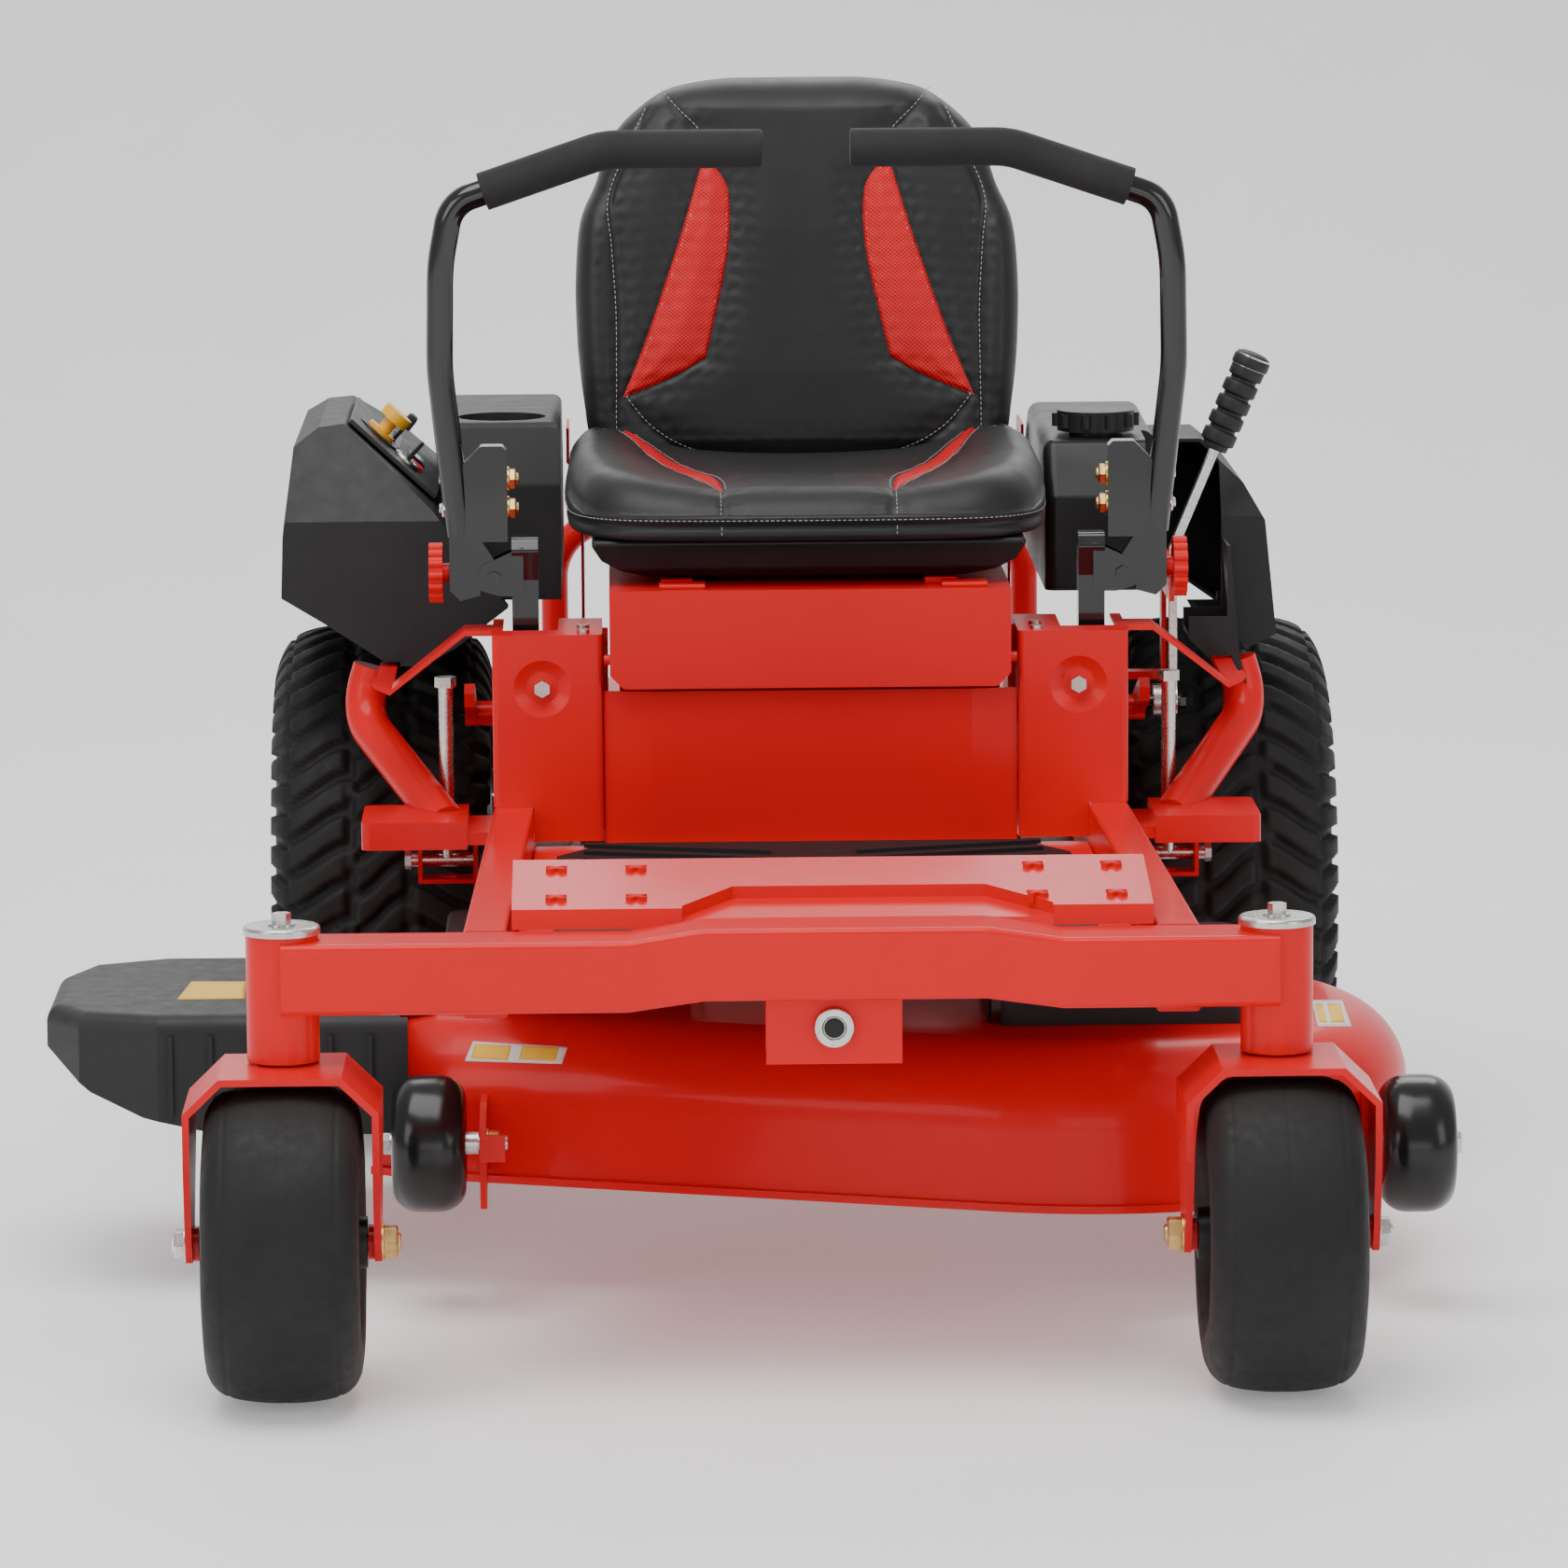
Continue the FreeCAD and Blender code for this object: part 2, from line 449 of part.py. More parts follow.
for s in (-1, 1):
    c = fuse(rnd(box(150, 238, -70, 75, 200, 290), 14), cyl((190, -20, 289), (0, 0, 1), 30, 31), cyl((190, -20, 319), (0, 0, 1), 14, 62),
             cyl((230, 0, R_REAR), (1, 0, 0), 36, 62), cyl((280, 0, R_REAR), (1, 0, 0), 15, 166))
    c = c.fuse(box(160, 228, 74, 95, 212, 284))
    trans.append(c if s > 0 else mirror(c))
pul = []
for cx, cy, r in ((-190, -20, 55), (190, -20, 55), (0, 262, 46)):
    pul.append(ring((cx, cy, 352), (0, 0, 1), r, 14.5, 6).fuse(ring((cx, cy, 358), (0, 0, 1), r - 8, 14.5, 12)).fuse(
        ring((cx, cy, 370), (0, 0, 1), r, 14.5, 6)))
save("transaxles", group(*trans, *pul))


def belt(circles, w, z0, z1):
    """Flat loop of thickness w wrapped round pulleys listed anticlockwise."""
    def outline(g):
        n, pts = len(circles), []
        T = []
        for i in range(n):
            (x0, y0, r0), (x1, y1, r1) = circles[i], circles[(i + 1) % n]
            r0, r1 = r0 + g, r1 + g
            d = math.hypot(x1 - x0, y1 - y0)
            u = ((x1 - x0) / d, (y1 - y0) / d)
            nn = (u[1], -u[0])
            k = (r0 - r1) / d
            h = math.sqrt(1 - k * k)
            m = (u[0] * k + nn[0] * h, u[1] * k + nn[1] * h)
            T.append(((x0 + m[0] * r0, y0 + m[1] * r0), (x1 + m[0] * r1, y1 + m[1] * r1), m))
        edges = []
        for i in range(n):
            a, b, m = T[i]
            edges.append(Part.LineSegment(V(a[0], a[1], z0), V(b[0], b[1], z0)).toShape())
            x, y, r = circles[(i + 1) % n]
            m2 = T[(i + 1) % n][2]
            a0, a1 = math.atan2(m[1], m[0]), math.atan2(m2[1], m2[0])
            while a1 < a0:
                a1 += 2 * math.pi
            am = (a0 + a1) / 2
            c = T[(i + 1) % n][0]
            edges.append(Part.Arc(V(b[0], b[1], z0), V(x + (r + g) * math.cos(am), y + (r + g) * math.sin(am), z0),
                                  V(c[0], c[1], z0)).toShape())
        return Part.Face(Part.Wire(edges))
    return outline(w).cut(outline(0)).extrude(V(0, 0, z1 - z0))


save("drive_belt", belt([(-190, -20, 47.2), (190, -20, 47.2), (0, 262, 38.2)], 8, 358.5, 369.5))

# ---- rear frame: guard, posts, red fender sheets, hitch plate
guard = pipe([(-248, 455, 392), (-248, 455, 560), (248, 455, 560), (248, 455, 392)], 14, [60, 60])
feet = [box(s * 248 - 16, s * 248 + 16, 430.1, 470, 380, 392) for s in (-1, 1)]
hitch = box(-60, 60, 431, 476, 372, 380).cut(cyl((0, 455, 360), (0, 0, 1), 9.5, 30))
tie = box(-250, 250, 436, 445, 372, 392)
ears = fuse(box(-262, -232, 430.5, 444, 316, 392), box(232, 262, 430.5, 444, 316, 392))
lugs = [box(s * 150 - 20, s * 150 + 20, 458, 464, 530, 612).cut(cyl((s * 150, 450, 595), (0, 1, 0), 5.5, 20)) for s in (-1, 1)]
guard = fuse(guard, hitch, tie, ears, *feet, *lugs)
rf = []
for s in (-1, 1):
    a = prism_y([(215, 396.5), (218, 396.5), (218, 640), (232, 655), (232, 690), (229, 690), (229, 656.5), (215, 641.5)], 130, 230)
    rf.append(a if s > 0 else mirror(a))
rear_y = max(x.BoundBox.YMax for x in [guard])
save("rear_frame", group(guard, *rf))

# ---- steering controls, built for the left side (X > 0) and mirrored
def side_pair(name, s):
    save(name + "_left", s)
    save(name + "_right", mirror(s))


hub = ring((252, ARM[0], ARM[1]), (1, 0, 0), 17, 8 + RUN, 24)
web = prism_x([(-412, 508), (-388, 508), (-386, 600), (-380, 628), (-386, 640), (-414, 640), (-420, 628), (-414, 600)], 256, 281)
web = rnd(web, 5, along((1, 0, 0)))
ear1 = prism_y([(270, 585), (292, 585), (309, 590), (314, 602), (309, 614), (292, 622), (270, 632)], -419, -412)
ear2 = prism_y([(270, 585), (292, 585), (309, 590), (314, 602), (309, 614), (292, 622), (270, 632)], -388, -381)
pin = cyl((SWING[0], -421, SWING[1]), (0, 1, 0), 6, 42)
arm = fuse(hub, web, ear1, ear2, pin, hexa((SWING[0], -421, SWING[1]), (0, -1, 0), 13, 5)).cut(
    cyl((250, ARM[0], ARM[1]), (1, 0, 0), 8 + RUN, 30))
side_pair("control_arm", arm)

plate = prism_y([(284.5, 632), (284.5, 722), (289, 727), (309, 727), (330, 706), (340, 688), (340, 590), (330, 580), (300, 588), (296, 612)],
                -411.5, -388.5)
boss = cyl((SWING[0], -411.5, SWING[1]), (0, 1, 0), 14, 23)
brk = fuse(plate.cut(box(270, 345, -420, -380, 570, 636).cut(box(311, 345, -420, -380, 570, 636))), boss,
           prism_y([(292, 610), (312, 588), (340, 600), (340, 640), (311, 640)], -411.5, -388.5))
brk = brk.cut(cyl((SWING[0], -430, SWING[1]), (0, 1, 0), 6 + RUN, 60))
brk = rnd(brk, 3, lambda e: along((0, 1, 0))(e) and e.BoundBox.ZMin > 700)
bar = pipe([(330, -400, 642), (347, -412, 800), (345, -422, 900), (334, -426, 958), (190, -430, 1007.5), (44, -430, 1007.5)],
           LAP_R, [260, 200, 34, 80])
for z in (667, 695):
    brk = brk.fuse(hexa((340, -400, z), (1, 0, 0), 13, 6)).fuse(hexa((284.5, -400, z), (-1, 0, 0), 15, 8))
side_pair("lap_bar", group(brk.cut(bar), bar))
g = pipe([(304, -427.1, 968.7), (190, -430, 1007.5), (41, -430, 1007.5)], GRIP_R, [80])
g = g.cut(pipe([(334, -426, 958), (190, -430, 1007.5), (44, -430, 1007.5)], LAP_R, [80]))
side_pair("lap_grip", rnd(g, 3, lambda e: e.BoundBox.XMax < 60 and e.BoundBox.ZLength > 30))
kn = cyl((346.4 - 5, -400, 606), (1, 0, 0), 24, 14)
kn = cyl((346.5, -400, 606), (1, 0, 0), 25, 13)
for i in range(14):
    a = i * 2 * math.pi / 14
    kn = kn.fuse(cyl((346.5, -400 + 25 * math.cos(a), 606 + 25 * math.sin(a)), (1, 0, 0), 3.6, 13))
kn = kn.fuse(cyl((340.3, -400, 606), (1, 0, 0), 9, 7))
side_pair("lap_knob", kn.removeSplitter())

# ---- seat platform, base, cushion and back
fas = prism_y([(-176, 503), (176, 503), (189, 516), (189, 596), (-189, 596), (-189, 516)], -480, -477)
sides = [prism_x([(-477, 516), (-477, 596), (-110, 596), (-110, 560), (-430, 516)], s * 189 - (3 if s > 0 else 0), s * 189 + (0 if s > 0 else 3)) for s in (-1, 1)]
deckp = box(-189, 189, -480, -110, 593, 596)
pegs = [cyl((s * 186 if s > 0 else -186, TILT[0], TILT[1]), (s, 0, 0), 5, 8.5) for s in (-1, 1)]
pads = [rnd(box(x, x + 44, -468, -440, 596, 600.5), 2) for x in (-142, 124)]
rails = [box(s * 125 - 15, s * 125 + 15, -430, -120, 596, 601) for s in (-1, 1)]
save("seat_platform", fuse(fas, deckp, *(sides + pegs + pads + rails)))
base = prism_x([(-448, 640), (-440, 612), (-420, 602.5), (-20, 602.5), (10, 640)], -205, 205)
base = base.common(prism_y([(-205, 645), (-205, 634), (-196, 620), (-176, 609), (-146, 602), (146, 602), (176, 609), (196, 620), (205, 634), (205, 645)], -460, 20))
save("seat_base", rnd(base, 4))
cush = prism_x([(-458, 640.5), (-466, 652), (-462, 672), (-430, 692), (-200, 690), (-20, 672), (18, 665), (18, 640.5)], -226, 226)
cush = cush.common(rnd(box(-226, 226, -470, 20, 630, 720), 40, along((0, 0, 1))))
save("seat_cushion", cush)
BACK = [(-175, 640), (-200, 642), (-218, 700), (-221, 820), (-205, 900), (-188, 960), (-165, 1000), (-138, 1030), (-90, 1042),
        (0, 1046), (90, 1042), (138, 1030), (165, 1000), (188, 960), (205, 900), (221, 820), (218, 700), (200, 642), (175, 640)]
bk = prism_x([(-45, 694), (-38, 760), (-8, 900), (22, 1020), (40, 1050), (78, 1050), (92, 1020), (100, 850), (96, 640), (22, 640), (22, 672), (-30, 690)], -230, 230)
bk = bk.common(prism_y(BACK, -80, 160))
save("seat_back", bk)

# ---- height lever, rockshaft, lift rods
lv = prism_y([(355.6, 452), (363, 452), (363, 600), (405, 700), (398, 704), (355.6, 604)], LEVER[0] - 9, LEVER[0] + 9)
lv = lv.fuse(cyl((340, LEVER[0], LEVER[1]), (1, 0, 0), 17, 23)).cut(cyl((330, LEVER[0], LEVER[1]), (1, 0, 0), 6 + RUN, 50))
u = V(43, 0, 100)
u.normalize()
gp = V(400, LEVER[0], 700)
grip = Part.makeCylinder(12, 92, gp, u)
for i in range(5):
    grip = grip.fuse(Part.makeCylinder(16, 11, gp + u * (6 + i * 17), u))
grip = grip.fuse(Part.makeCylinder(17.5, 12, gp + u * 84, u))
save("height_lever", group(lv.cut(grip).Solids[0] if len(lv.cut(grip).Solids) == 1 else max(lv.cut(grip).Solids, key=lambda x: x.Volume), grip))
lever_pin = (fuse(cyl((300.3, LEVER[0], LEVER[1]), (1, 0, 0), 6, 66), hexa((366, LEVER[0], LEVER[1]), (1, 0, 0), 14, 6),
                       prism_y([(300.2, 360), (300.2, 470), (306, 470), (306, 360)], LEVER[0] - 16, LEVER[0] + 16)))
ry, rz = ROCK
rs = cyl((-330, ry, rz), (1, 0, 0), 12, 660)
for s in (-1, 1):
    a = prism_x([(ry + 14, rz - 12), (ry + 14, rz + 12), (ry - 84, rz + 40), (ry - 99, rz + 32), (ry - 92, rz + 18)], s * 324 - 5, s * 324 + 5)
    rs = rs.fuse(a)
save("rockshaft", rs.removeSplitter())
brg = []
for s in (-1, 1):
    b = prism_x([(ry - 18, 390.2), (ry + 18, 390.2), (ry + 18, rz + 16), (ry - 18, rz + 16)], s * 280 - 6, s * 280 + 6)
    brg.append(b.cut(cyl((-340, ry, rz), (1, 0, 0), 12 + RUN, 680)))
save("pivot_brackets", group(lever_pin, *brg))
rods = []
for s in (-1, 1):
    rod = cyl((s * 347, -335, 320), (0, 0, 1), 7, 174)
    fork = fuse(rod, cyl((s * 322 if s < 0 else 322, -335, 321), (s, 0, 0), 7, 60), hexa((s * 382, -335, 321), (s, 0, 0), 16, 6),
                hexa((s * 347, -335, 488), (0, 0, 1), 18, 10))
    rods.append(fork)


# ---- cutting deck
def hull2(g, z0, z1):
    """Outline round both chambers, grown by g, from z0 to z1."""
    (x1, y1), (x2, y2) = C1, C2
    r1, r2 = R1 + g, R2 + g
    d = math.hypot(x2 - x1, y2 - y1)
    u = ((x2 - x1) / d, (y2 - y1) / d)
    k = (r1 - r2) / d
    h = math.sqrt(1 - k * k)
    nf = (u[0] * k + u[1] * h, u[1] * k - u[0] * h)
    nb = (u[0] * k - u[1] * h, u[1] * k + u[0] * h)
    f1, f2 = (x1 + nf[0] * r1, y1 + nf[1] * r1), (x2 + nf[0] * r2, y2 + nf[1] * r2)
    b1, b2 = (x1 + nb[0] * r1, y1 + nb[1] * r1), (x2 + nb[0] * r2, y2 + nb[1] * r2)
    e = [Part.LineSegment(V(*f1, z0), V(*f2, z0)).toShape(),
         Part.Arc(V(*f2, z0), V(x2 + u[0] * r2, y2 + u[1] * r2, z0), V(*b2, z0)).toShape(),
         Part.LineSegment(V(*b2, z0), V(*b1, z0)).toShape(),
         Part.Arc(V(*b1, z0), V(x1 - u[0] * r1, y1 - u[1] * r1, z0), V(*f1, z0)).toShape()]
    return Part.Face(Part.Wire(e)).extrude(V(0, 0, z1 - z0))


outer = rnd(hull2(0, DECK_Z0, DECK_Z1), 72, lambda e: e.BoundBox.ZMin > DECK_Z1 - 1)
inner = rnd(hull2(-DECK_T, DECK_Z0 - 1, DECK_Z1 - DECK_T), 69, lambda e: e.BoundBox.ZMin > DECK_Z1 - DECK_T - 1)
lip = hull2(5, DECK_Z0, DECK_Z0 + 7).cut(hull2(-0.5, DECK_Z0 - 1, DECK_Z0 + 8))
shell = outer.cut(inner).fuse(lip)
mouth = prism_z([(C1[0], C1[1]), (C1[0] - 400, C1[1] - 36), (C1[0] - 400, C1[1] - 480), (C1[0] - 225, C1[1] - 320)], 90, 196)
shell = shell.cut(mouth)
for c in (C1, C2):
    shell = shell.cut(cyl((c[0], c[1], 200), (0, 0, 1), 26, 60))
save("deck_shell", shell.removeSplitter())
hou = []
for c in (C1, C2):
    h = fuse(cyl((c[0], c[1], 242.1), (0, 0, 1), 62, 8), cyl((c[0], c[1], 205), (0, 0, 1), 25.8, 55))
    hou.append(h.cut(cyl((c[0], c[1], 190), (0, 0, 1), 12.5 + RUN, 90)))
save("spindle_housings", group(*hou))
for side, c, ang in (("right", C1, 0.5), ("left", C2, 2.2)):
    b = box(c[0] - R_BLADE, c[0] + R_BLADE, c[1] - 30, c[1] + 30, 146, 151)
    w1 = prism_x([(c[1] + 8, 151), (c[1] + 30, 151), (c[1] + 30, 170), (c[1] + 26, 170)], c[0] + 150, c[0] + R_BLADE)
    w2 = prism_x([(c[1] - 8, 151), (c[1] - 30, 151), (c[1] - 30, 170), (c[1] - 26, 170)], c[0] - R_BLADE, c[0] - 150)
    b = b.fuse([w1, w2]).common(cyl((c[0], c[1], 140), (0, 0, 1), R_BLADE, 40))
    b = b.fuse([cyl((c[0], c[1], 151), (0, 0, 1), 30, 16), cyl((c[0], c[1], 146), (0, 0, 1), 12.5, 135),
                hexa((c[0], c[1], 146), (0, 0, -1), 24, 12),
                cyl((c[0], c[1], 263), (0, 0, 1), 60, 3), cyl((c[0], c[1], 266), (0, 0, 1), 52, 12),
                cyl((c[0], c[1], 278), (0, 0, 1), 60, 3)])
    b.rotate(V(c[0], c[1], 0), V(0, 0, 1), math.degrees(ang))
    save("blade_" + side, b.removeSplitter())
cov = []
for c, x0, x1, y0, y1 in ((C1, -345, -105, -650, -440), (C2, 150, 395, -845, -560)):
    o = rnd(box(x0, x1, y0, y1, 242.2, 290), 22, lambda e: along((0, 0, 1))(e))
    o = rnd(o, 6, lambda e: e.BoundBox.ZMin > 289)
    i = box(x0 + 3, x1 - 3, y0 + 3, y1 - 3, 240, 287)
    cov.append(o.cut(i))
OPEN1 = box(-110, -100, -640, -446, 262, 284)
OPEN2 = prism_z([(150 - 8, -790), (160, -790), (160, -570), (142, -570)], 262, 284)
cov[0] = cov[0].cut(OPEN1).cut(box(-320, -120, -445, -430, 262, 284))
cov[1] = cov[1].cut(OPEN2).cut(box(160, 385, -566, -555, 262, 284))
cov = [fuse(c, hexa((x, y, 289.9), (0, 0, 1), 11, 5)) for c, x, y in zip(cov, (-225, 300), (-625, -810))]
save("deck_covers", group(*cov))
eng_p = ring((0, 262, 325), (0, 0, 1), 66, 14.5, 3).fuse(ring((0, 262, 312), (0, 0, 1), 58, 14.5, 13)).fuse(ring((0, 262, 309), (0, 0, 1), 66, 14.5, 3))
eng_p = eng_p.fuse(cyl((0, 262, 327.9), (0, 0, 1), 50, 22).cut(cyl((0, 262, 328), (0, 0, 1), 14 + RUN, 30))).cut(cyl((0, 262, 300), (0, 0, 1), 14 + RUN, 60))
save("pto_pulley", eng_p.removeSplitter())
# deck belt, a loop from the engine pulley down to the two deck pulleys
bl3 = belt([(C1[0], C1[1], 52.6), (C2[0], C2[1], 52.6), (0, 262, 58.6)], 7, 0, 4.4)
# the plane through the three pulley centres, as a shear of Z
det = [(C1[0], C1[1], 269.8), (C2[0], C2[1], 269.8), (0.0, 262.0, 316.0)]
(xa, ya_, za), (xb, yb, zb), (xc, yc, zc) = det
dn = (xb - xa) * (yc - ya_) - (xc - xa) * (yb - ya_)
gx = ((zb - za) * (yc - ya_) - (zc - za) * (yb - ya_)) / dn
gy = ((xb - xa) * (zc - za) - (xc - xa) * (zb - za)) / dn
M = FreeCAD.Matrix(1, 0, 0, 0, 0, 1, 0, 0, gx, gy, 1, za - gx * xa - gy * ya_, 0, 0, 0, 1)
save("deck_belt", bl3.transformGeometry(M))

# hanger brackets, gauge wheel brackets and front tab, welded to the deck
def on_deck(s):
    return s.cut(outer)


hang = []
for s in (-1, 1):
    ubr = prism_y([(s * 322, 300), (s * 375, 300), (s * 375, 350), (s * 322, 350), (s * 322, 346), (s * 371, 346), (s * 371, 304), (s * 322, 304)], -352, -318)
    ubr = ubr.fuse(box(min(s * 318, s * 322), max(s * 318, s * 322), -352, -318, 225, 350)).cut(cyl((s * 300, -335, 321), (s, 0, 0), 7.2, 90))
    ubr = ubr.cut(cyl((s * 347, -335, 290), (0, 0, 1), 8.5, 80))
    back = -352 if s < 0 else -480
    leg = prism_x([(-352, 225), (-352, 300), (-346, 300), (-318, 225)], s * 318 - (0 if s > 0 else 4), s * 318 + (4 if s > 0 else 0))
    base_ = prism_x([(-470 if s > 0 else -360, 242.3), (-470 if s > 0 else -360, 234), (-430 if s > 0 else -352, 225), (-330, 225), (-318, 240), (-330, 262)],
                    min(s * 318, s * 322), max(s * 318, s * 322))
    hang.append(on_deck(fuse(ubr, leg, base_)))
    if s > 0:
        hang.append(on_deck(box(280, 322, -470, -320, 215, 225).fuse(box(280, 318, -470, -400, 225, 242.3))))
gw_r = prism_x([(-780, 120), (-780, 180), (-850, 178), (-918, 166), (-918, 136), (-900, 90), (-880, 88)], -309, -303)
gw_r = gw_r.fuse(box(-309, -286, -918, -912, 136, 160)).cut(cyl((-320, -900, 150.5), (1, 0, 0), 6.5, 40))
gw_l = prism_x([(-860, 120), (-860, 185), (-900, 180), (-966, 168), (-966, 134), (-930, 105)], 484, 490).cut(cyl((470, -948, 150.5), (1, 0, 0), 6.5, 40))
hang.append(on_deck(gw_r))
hang.append(on_deck(gw_l))
tab = prism_y([(-30, 236), (-24, 236), (-24, 280), (1, 280), (1, 236), (7, 236), (7, 286), (-30, 286)], -900, -868)
tab = tab.cut(cyl((-40, -884, 268), (1, 0, 0), 5.2, 60))
hang.append(tab.cut(outer))
save("deck_brackets", group(*[x for h in hang for x in h.Solids if x.Volume > 200]))
for side, (gx_, gy_, s) in {"right": (-354, -900, -1), "left": (526, -948, 1)}.items():
    R, w = 61.5, 33.0
    pr = [(-w, 10 + RUN), (-w, 40), (-w + 5, 53), (-w + 16, 60), (0, R), (w - 16, 60), (w - 5, 53), (w, 40), (w, 10 + RUN)]
    save("gauge_wheel_" + side, lathe(pr, (gx_, gy_, 150.5), {1: 7}.items()))
ax = fuse(cyl((-389, -900, 150.5), (1, 0, 0), 10, 79), cyl((-312, -900, 150.5), (1, 0, 0), 6.4, 28), hexa((-303, -900, 150.5), (1, 0, 0), 17, 12),
          hexa((-389, -900, 150.5), (-1, 0, 0), 17, 6))
ax2 = fuse(cyl((491, -948, 150.5), (1, 0, 0), 10, 70), cyl((478, -948, 150.5), (1, 0, 0), 6.4, 15), hexa((484, -948, 150.5), (-1, 0, 0), 17, 8),
           hexa((561, -948, 150.5), (1, 0, 0), 17, 5))

# front link between the frame and the deck tab
a0, a1 = V(-11, LINK[0], LINK[1]), V(-11, -893, 269)
save("front_link", fuse(Part.makeCylinder(6, (a1 - a0).Length, a0, a1 - a0), cyl((-20, LINK[0], LINK[1]), (1, 0, 0), 9, 18)))

# ---- discharge chute, a moulded scoop hinged over the opening
PL = [(-374, -832), (-600, -832), (-672, -808), (-704, -756), (-704, -600), (-680, -530), (-610, -495), (-374, -495)]


def scoop(t):
    s = prism_z(inset(PL, t), 80, 256 - t)
    return rnd(s, 16 - t, lambda e: e.BoundBox.ZMin > 255 - t and e.BoundBox.XMin < -380)


sc = scoop(0).cut(scoop(4))
sc = sc.cut(prism_y([(-370, 70), (-370, 146), (-551, 149), (-614, 163), (-662, 184), (-710, 222), (-710, 70)], -1000, -400))
sc = sc.cut(hull2(5, 60, 248.0)).cut(box(-380, -370, -826, -400, 60, 250))
sc = sc.cut(box(-381, -360, -826, -400, 240, 300))
for y0 in (-740, -640):
    sc = sc.cut(box(-404, -360, y0 - 1.5, y0 + 21.5, 240, 270))
knk = [ring((CHUTE[0], y0, CHUTE[1]), (0, 1, 0), 8, 4 + RUN, 24) for y0 in (-780, -690, -600, -552)]
knk += [box(CHUTE[0] - 6, CHUTE[0] + 6, y0 + 1, y0 + 23, 253.5, 259) for y0 in (-780, -690, -600, -552)]
main = max(sc.Solids, key=lambda x: x.Volume)
main = fuse(main, *knk).cut(cyl((CHUTE[0], -900, CHUTE[1]), (0, 1, 0), 4 + RUN, 500))
riblets = []
for x in range(-590, -400, 36):
    riblets.append(box(x, x + 4, -836, -831, 152 + max(0, (-551 - x)) * 0.3, 238))
save("chute", fuse(main, *riblets))
hp = [cyl((CHUTE[0], -800, CHUTE[1]), (0, 1, 0), 4, 310)]
for y0 in (-740, -640):
    hp.append(ring((CHUTE[0], y0, CHUTE[1]), (0, 1, 0), 8, 3.9, 20))
    hp.append(box(CHUTE[0] + 3, CHUTE[0] + 40, y0, y0 + 20, 242.1, 245.5).fuse(box(CHUTE[0] + 3, CHUTE[0] + 7, y0, y0 + 20, 242.1, 266)))
save("deck_pins", group(*rods, ax, ax2, cut(fuse(*hp), outer)))
big = Part.makeCompound(list(SHAPES.values())).optimalBoundingBox()
print(len(NAMES), "nodes; box", big.XMin, big.XMax, big.YMin, big.YMax, big.ZMin, big.ZMax)
print("scoop", scoop(0).Volume, scoop(4).Volume, [round(x.Volume) for x in sc.Solids])
print("centre", (big.XMin + big.XMax) / 2, (big.YMin + big.YMax) / 2)
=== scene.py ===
import bpy, bmesh, math
import numpy as np
from mathutils import Vector, Matrix

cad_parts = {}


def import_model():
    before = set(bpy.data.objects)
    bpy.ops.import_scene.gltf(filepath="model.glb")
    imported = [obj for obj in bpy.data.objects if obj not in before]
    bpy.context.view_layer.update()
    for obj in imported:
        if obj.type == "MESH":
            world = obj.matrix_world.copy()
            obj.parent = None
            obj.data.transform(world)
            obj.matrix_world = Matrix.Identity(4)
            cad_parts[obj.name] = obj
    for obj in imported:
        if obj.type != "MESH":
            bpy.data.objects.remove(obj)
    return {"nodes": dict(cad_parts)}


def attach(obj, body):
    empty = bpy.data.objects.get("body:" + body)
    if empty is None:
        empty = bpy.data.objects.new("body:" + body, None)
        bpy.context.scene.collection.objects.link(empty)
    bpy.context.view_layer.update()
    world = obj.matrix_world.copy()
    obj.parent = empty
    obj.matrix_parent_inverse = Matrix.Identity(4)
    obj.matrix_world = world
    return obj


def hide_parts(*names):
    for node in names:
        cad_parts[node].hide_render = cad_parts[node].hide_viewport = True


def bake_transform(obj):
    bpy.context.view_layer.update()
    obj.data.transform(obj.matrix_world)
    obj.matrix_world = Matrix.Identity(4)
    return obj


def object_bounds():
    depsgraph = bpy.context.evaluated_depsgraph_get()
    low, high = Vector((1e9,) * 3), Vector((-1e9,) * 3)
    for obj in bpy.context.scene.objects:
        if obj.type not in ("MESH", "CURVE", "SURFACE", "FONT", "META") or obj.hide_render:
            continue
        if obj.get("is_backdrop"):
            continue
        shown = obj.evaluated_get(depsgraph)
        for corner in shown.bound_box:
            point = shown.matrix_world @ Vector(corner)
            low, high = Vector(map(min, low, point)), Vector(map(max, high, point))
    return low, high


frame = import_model()
CAD_BOX = [list(map(float, c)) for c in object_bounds()]
NODES = frame["nodes"]
SX, SY = 0.069, 0.46503          # working frame (rear axle, ground) to row frame


def W(x, y, z):
    return Vector((x / 1000 + SX, y / 1000 + SY, z / 1000))


# ------------------------------------------------------------------ materials
def nodes_of(name):
    m = bpy.data.materials.new(name)
    m.use_nodes = True
    nt = m.node_tree
    return m, nt, nt.nodes["Principled BSDF"]


def noise(nt, scale, detail=4.0, rough=0.55, coord="Object"):
    tc = nt.nodes.new("ShaderNodeTexCoord")
    n = nt.nodes.new("ShaderNodeTexNoise")
    n.inputs["Scale"].default_value = scale
    n.inputs["Detail"].default_value = detail
    n.inputs["Roughness"].default_value = rough
    nt.links.new(tc.outputs[coord], n.inputs["Vector"])
    return n


def ramp(nt, src, stops):
    r = nt.nodes.new("ShaderNodeValToRGB")
    e = r.color_ramp.elements
    while len(e) < len(stops):
        e.new(0.5)
    for k, (p, c) in enumerate(stops):
        e[k].position = p
        e[k].color = (c[0], c[1], c[2], 1) if isinstance(c, (tuple, list)) else (c, c, c, 1)
    nt.links.new(src, r.inputs["Fac"])
    return r


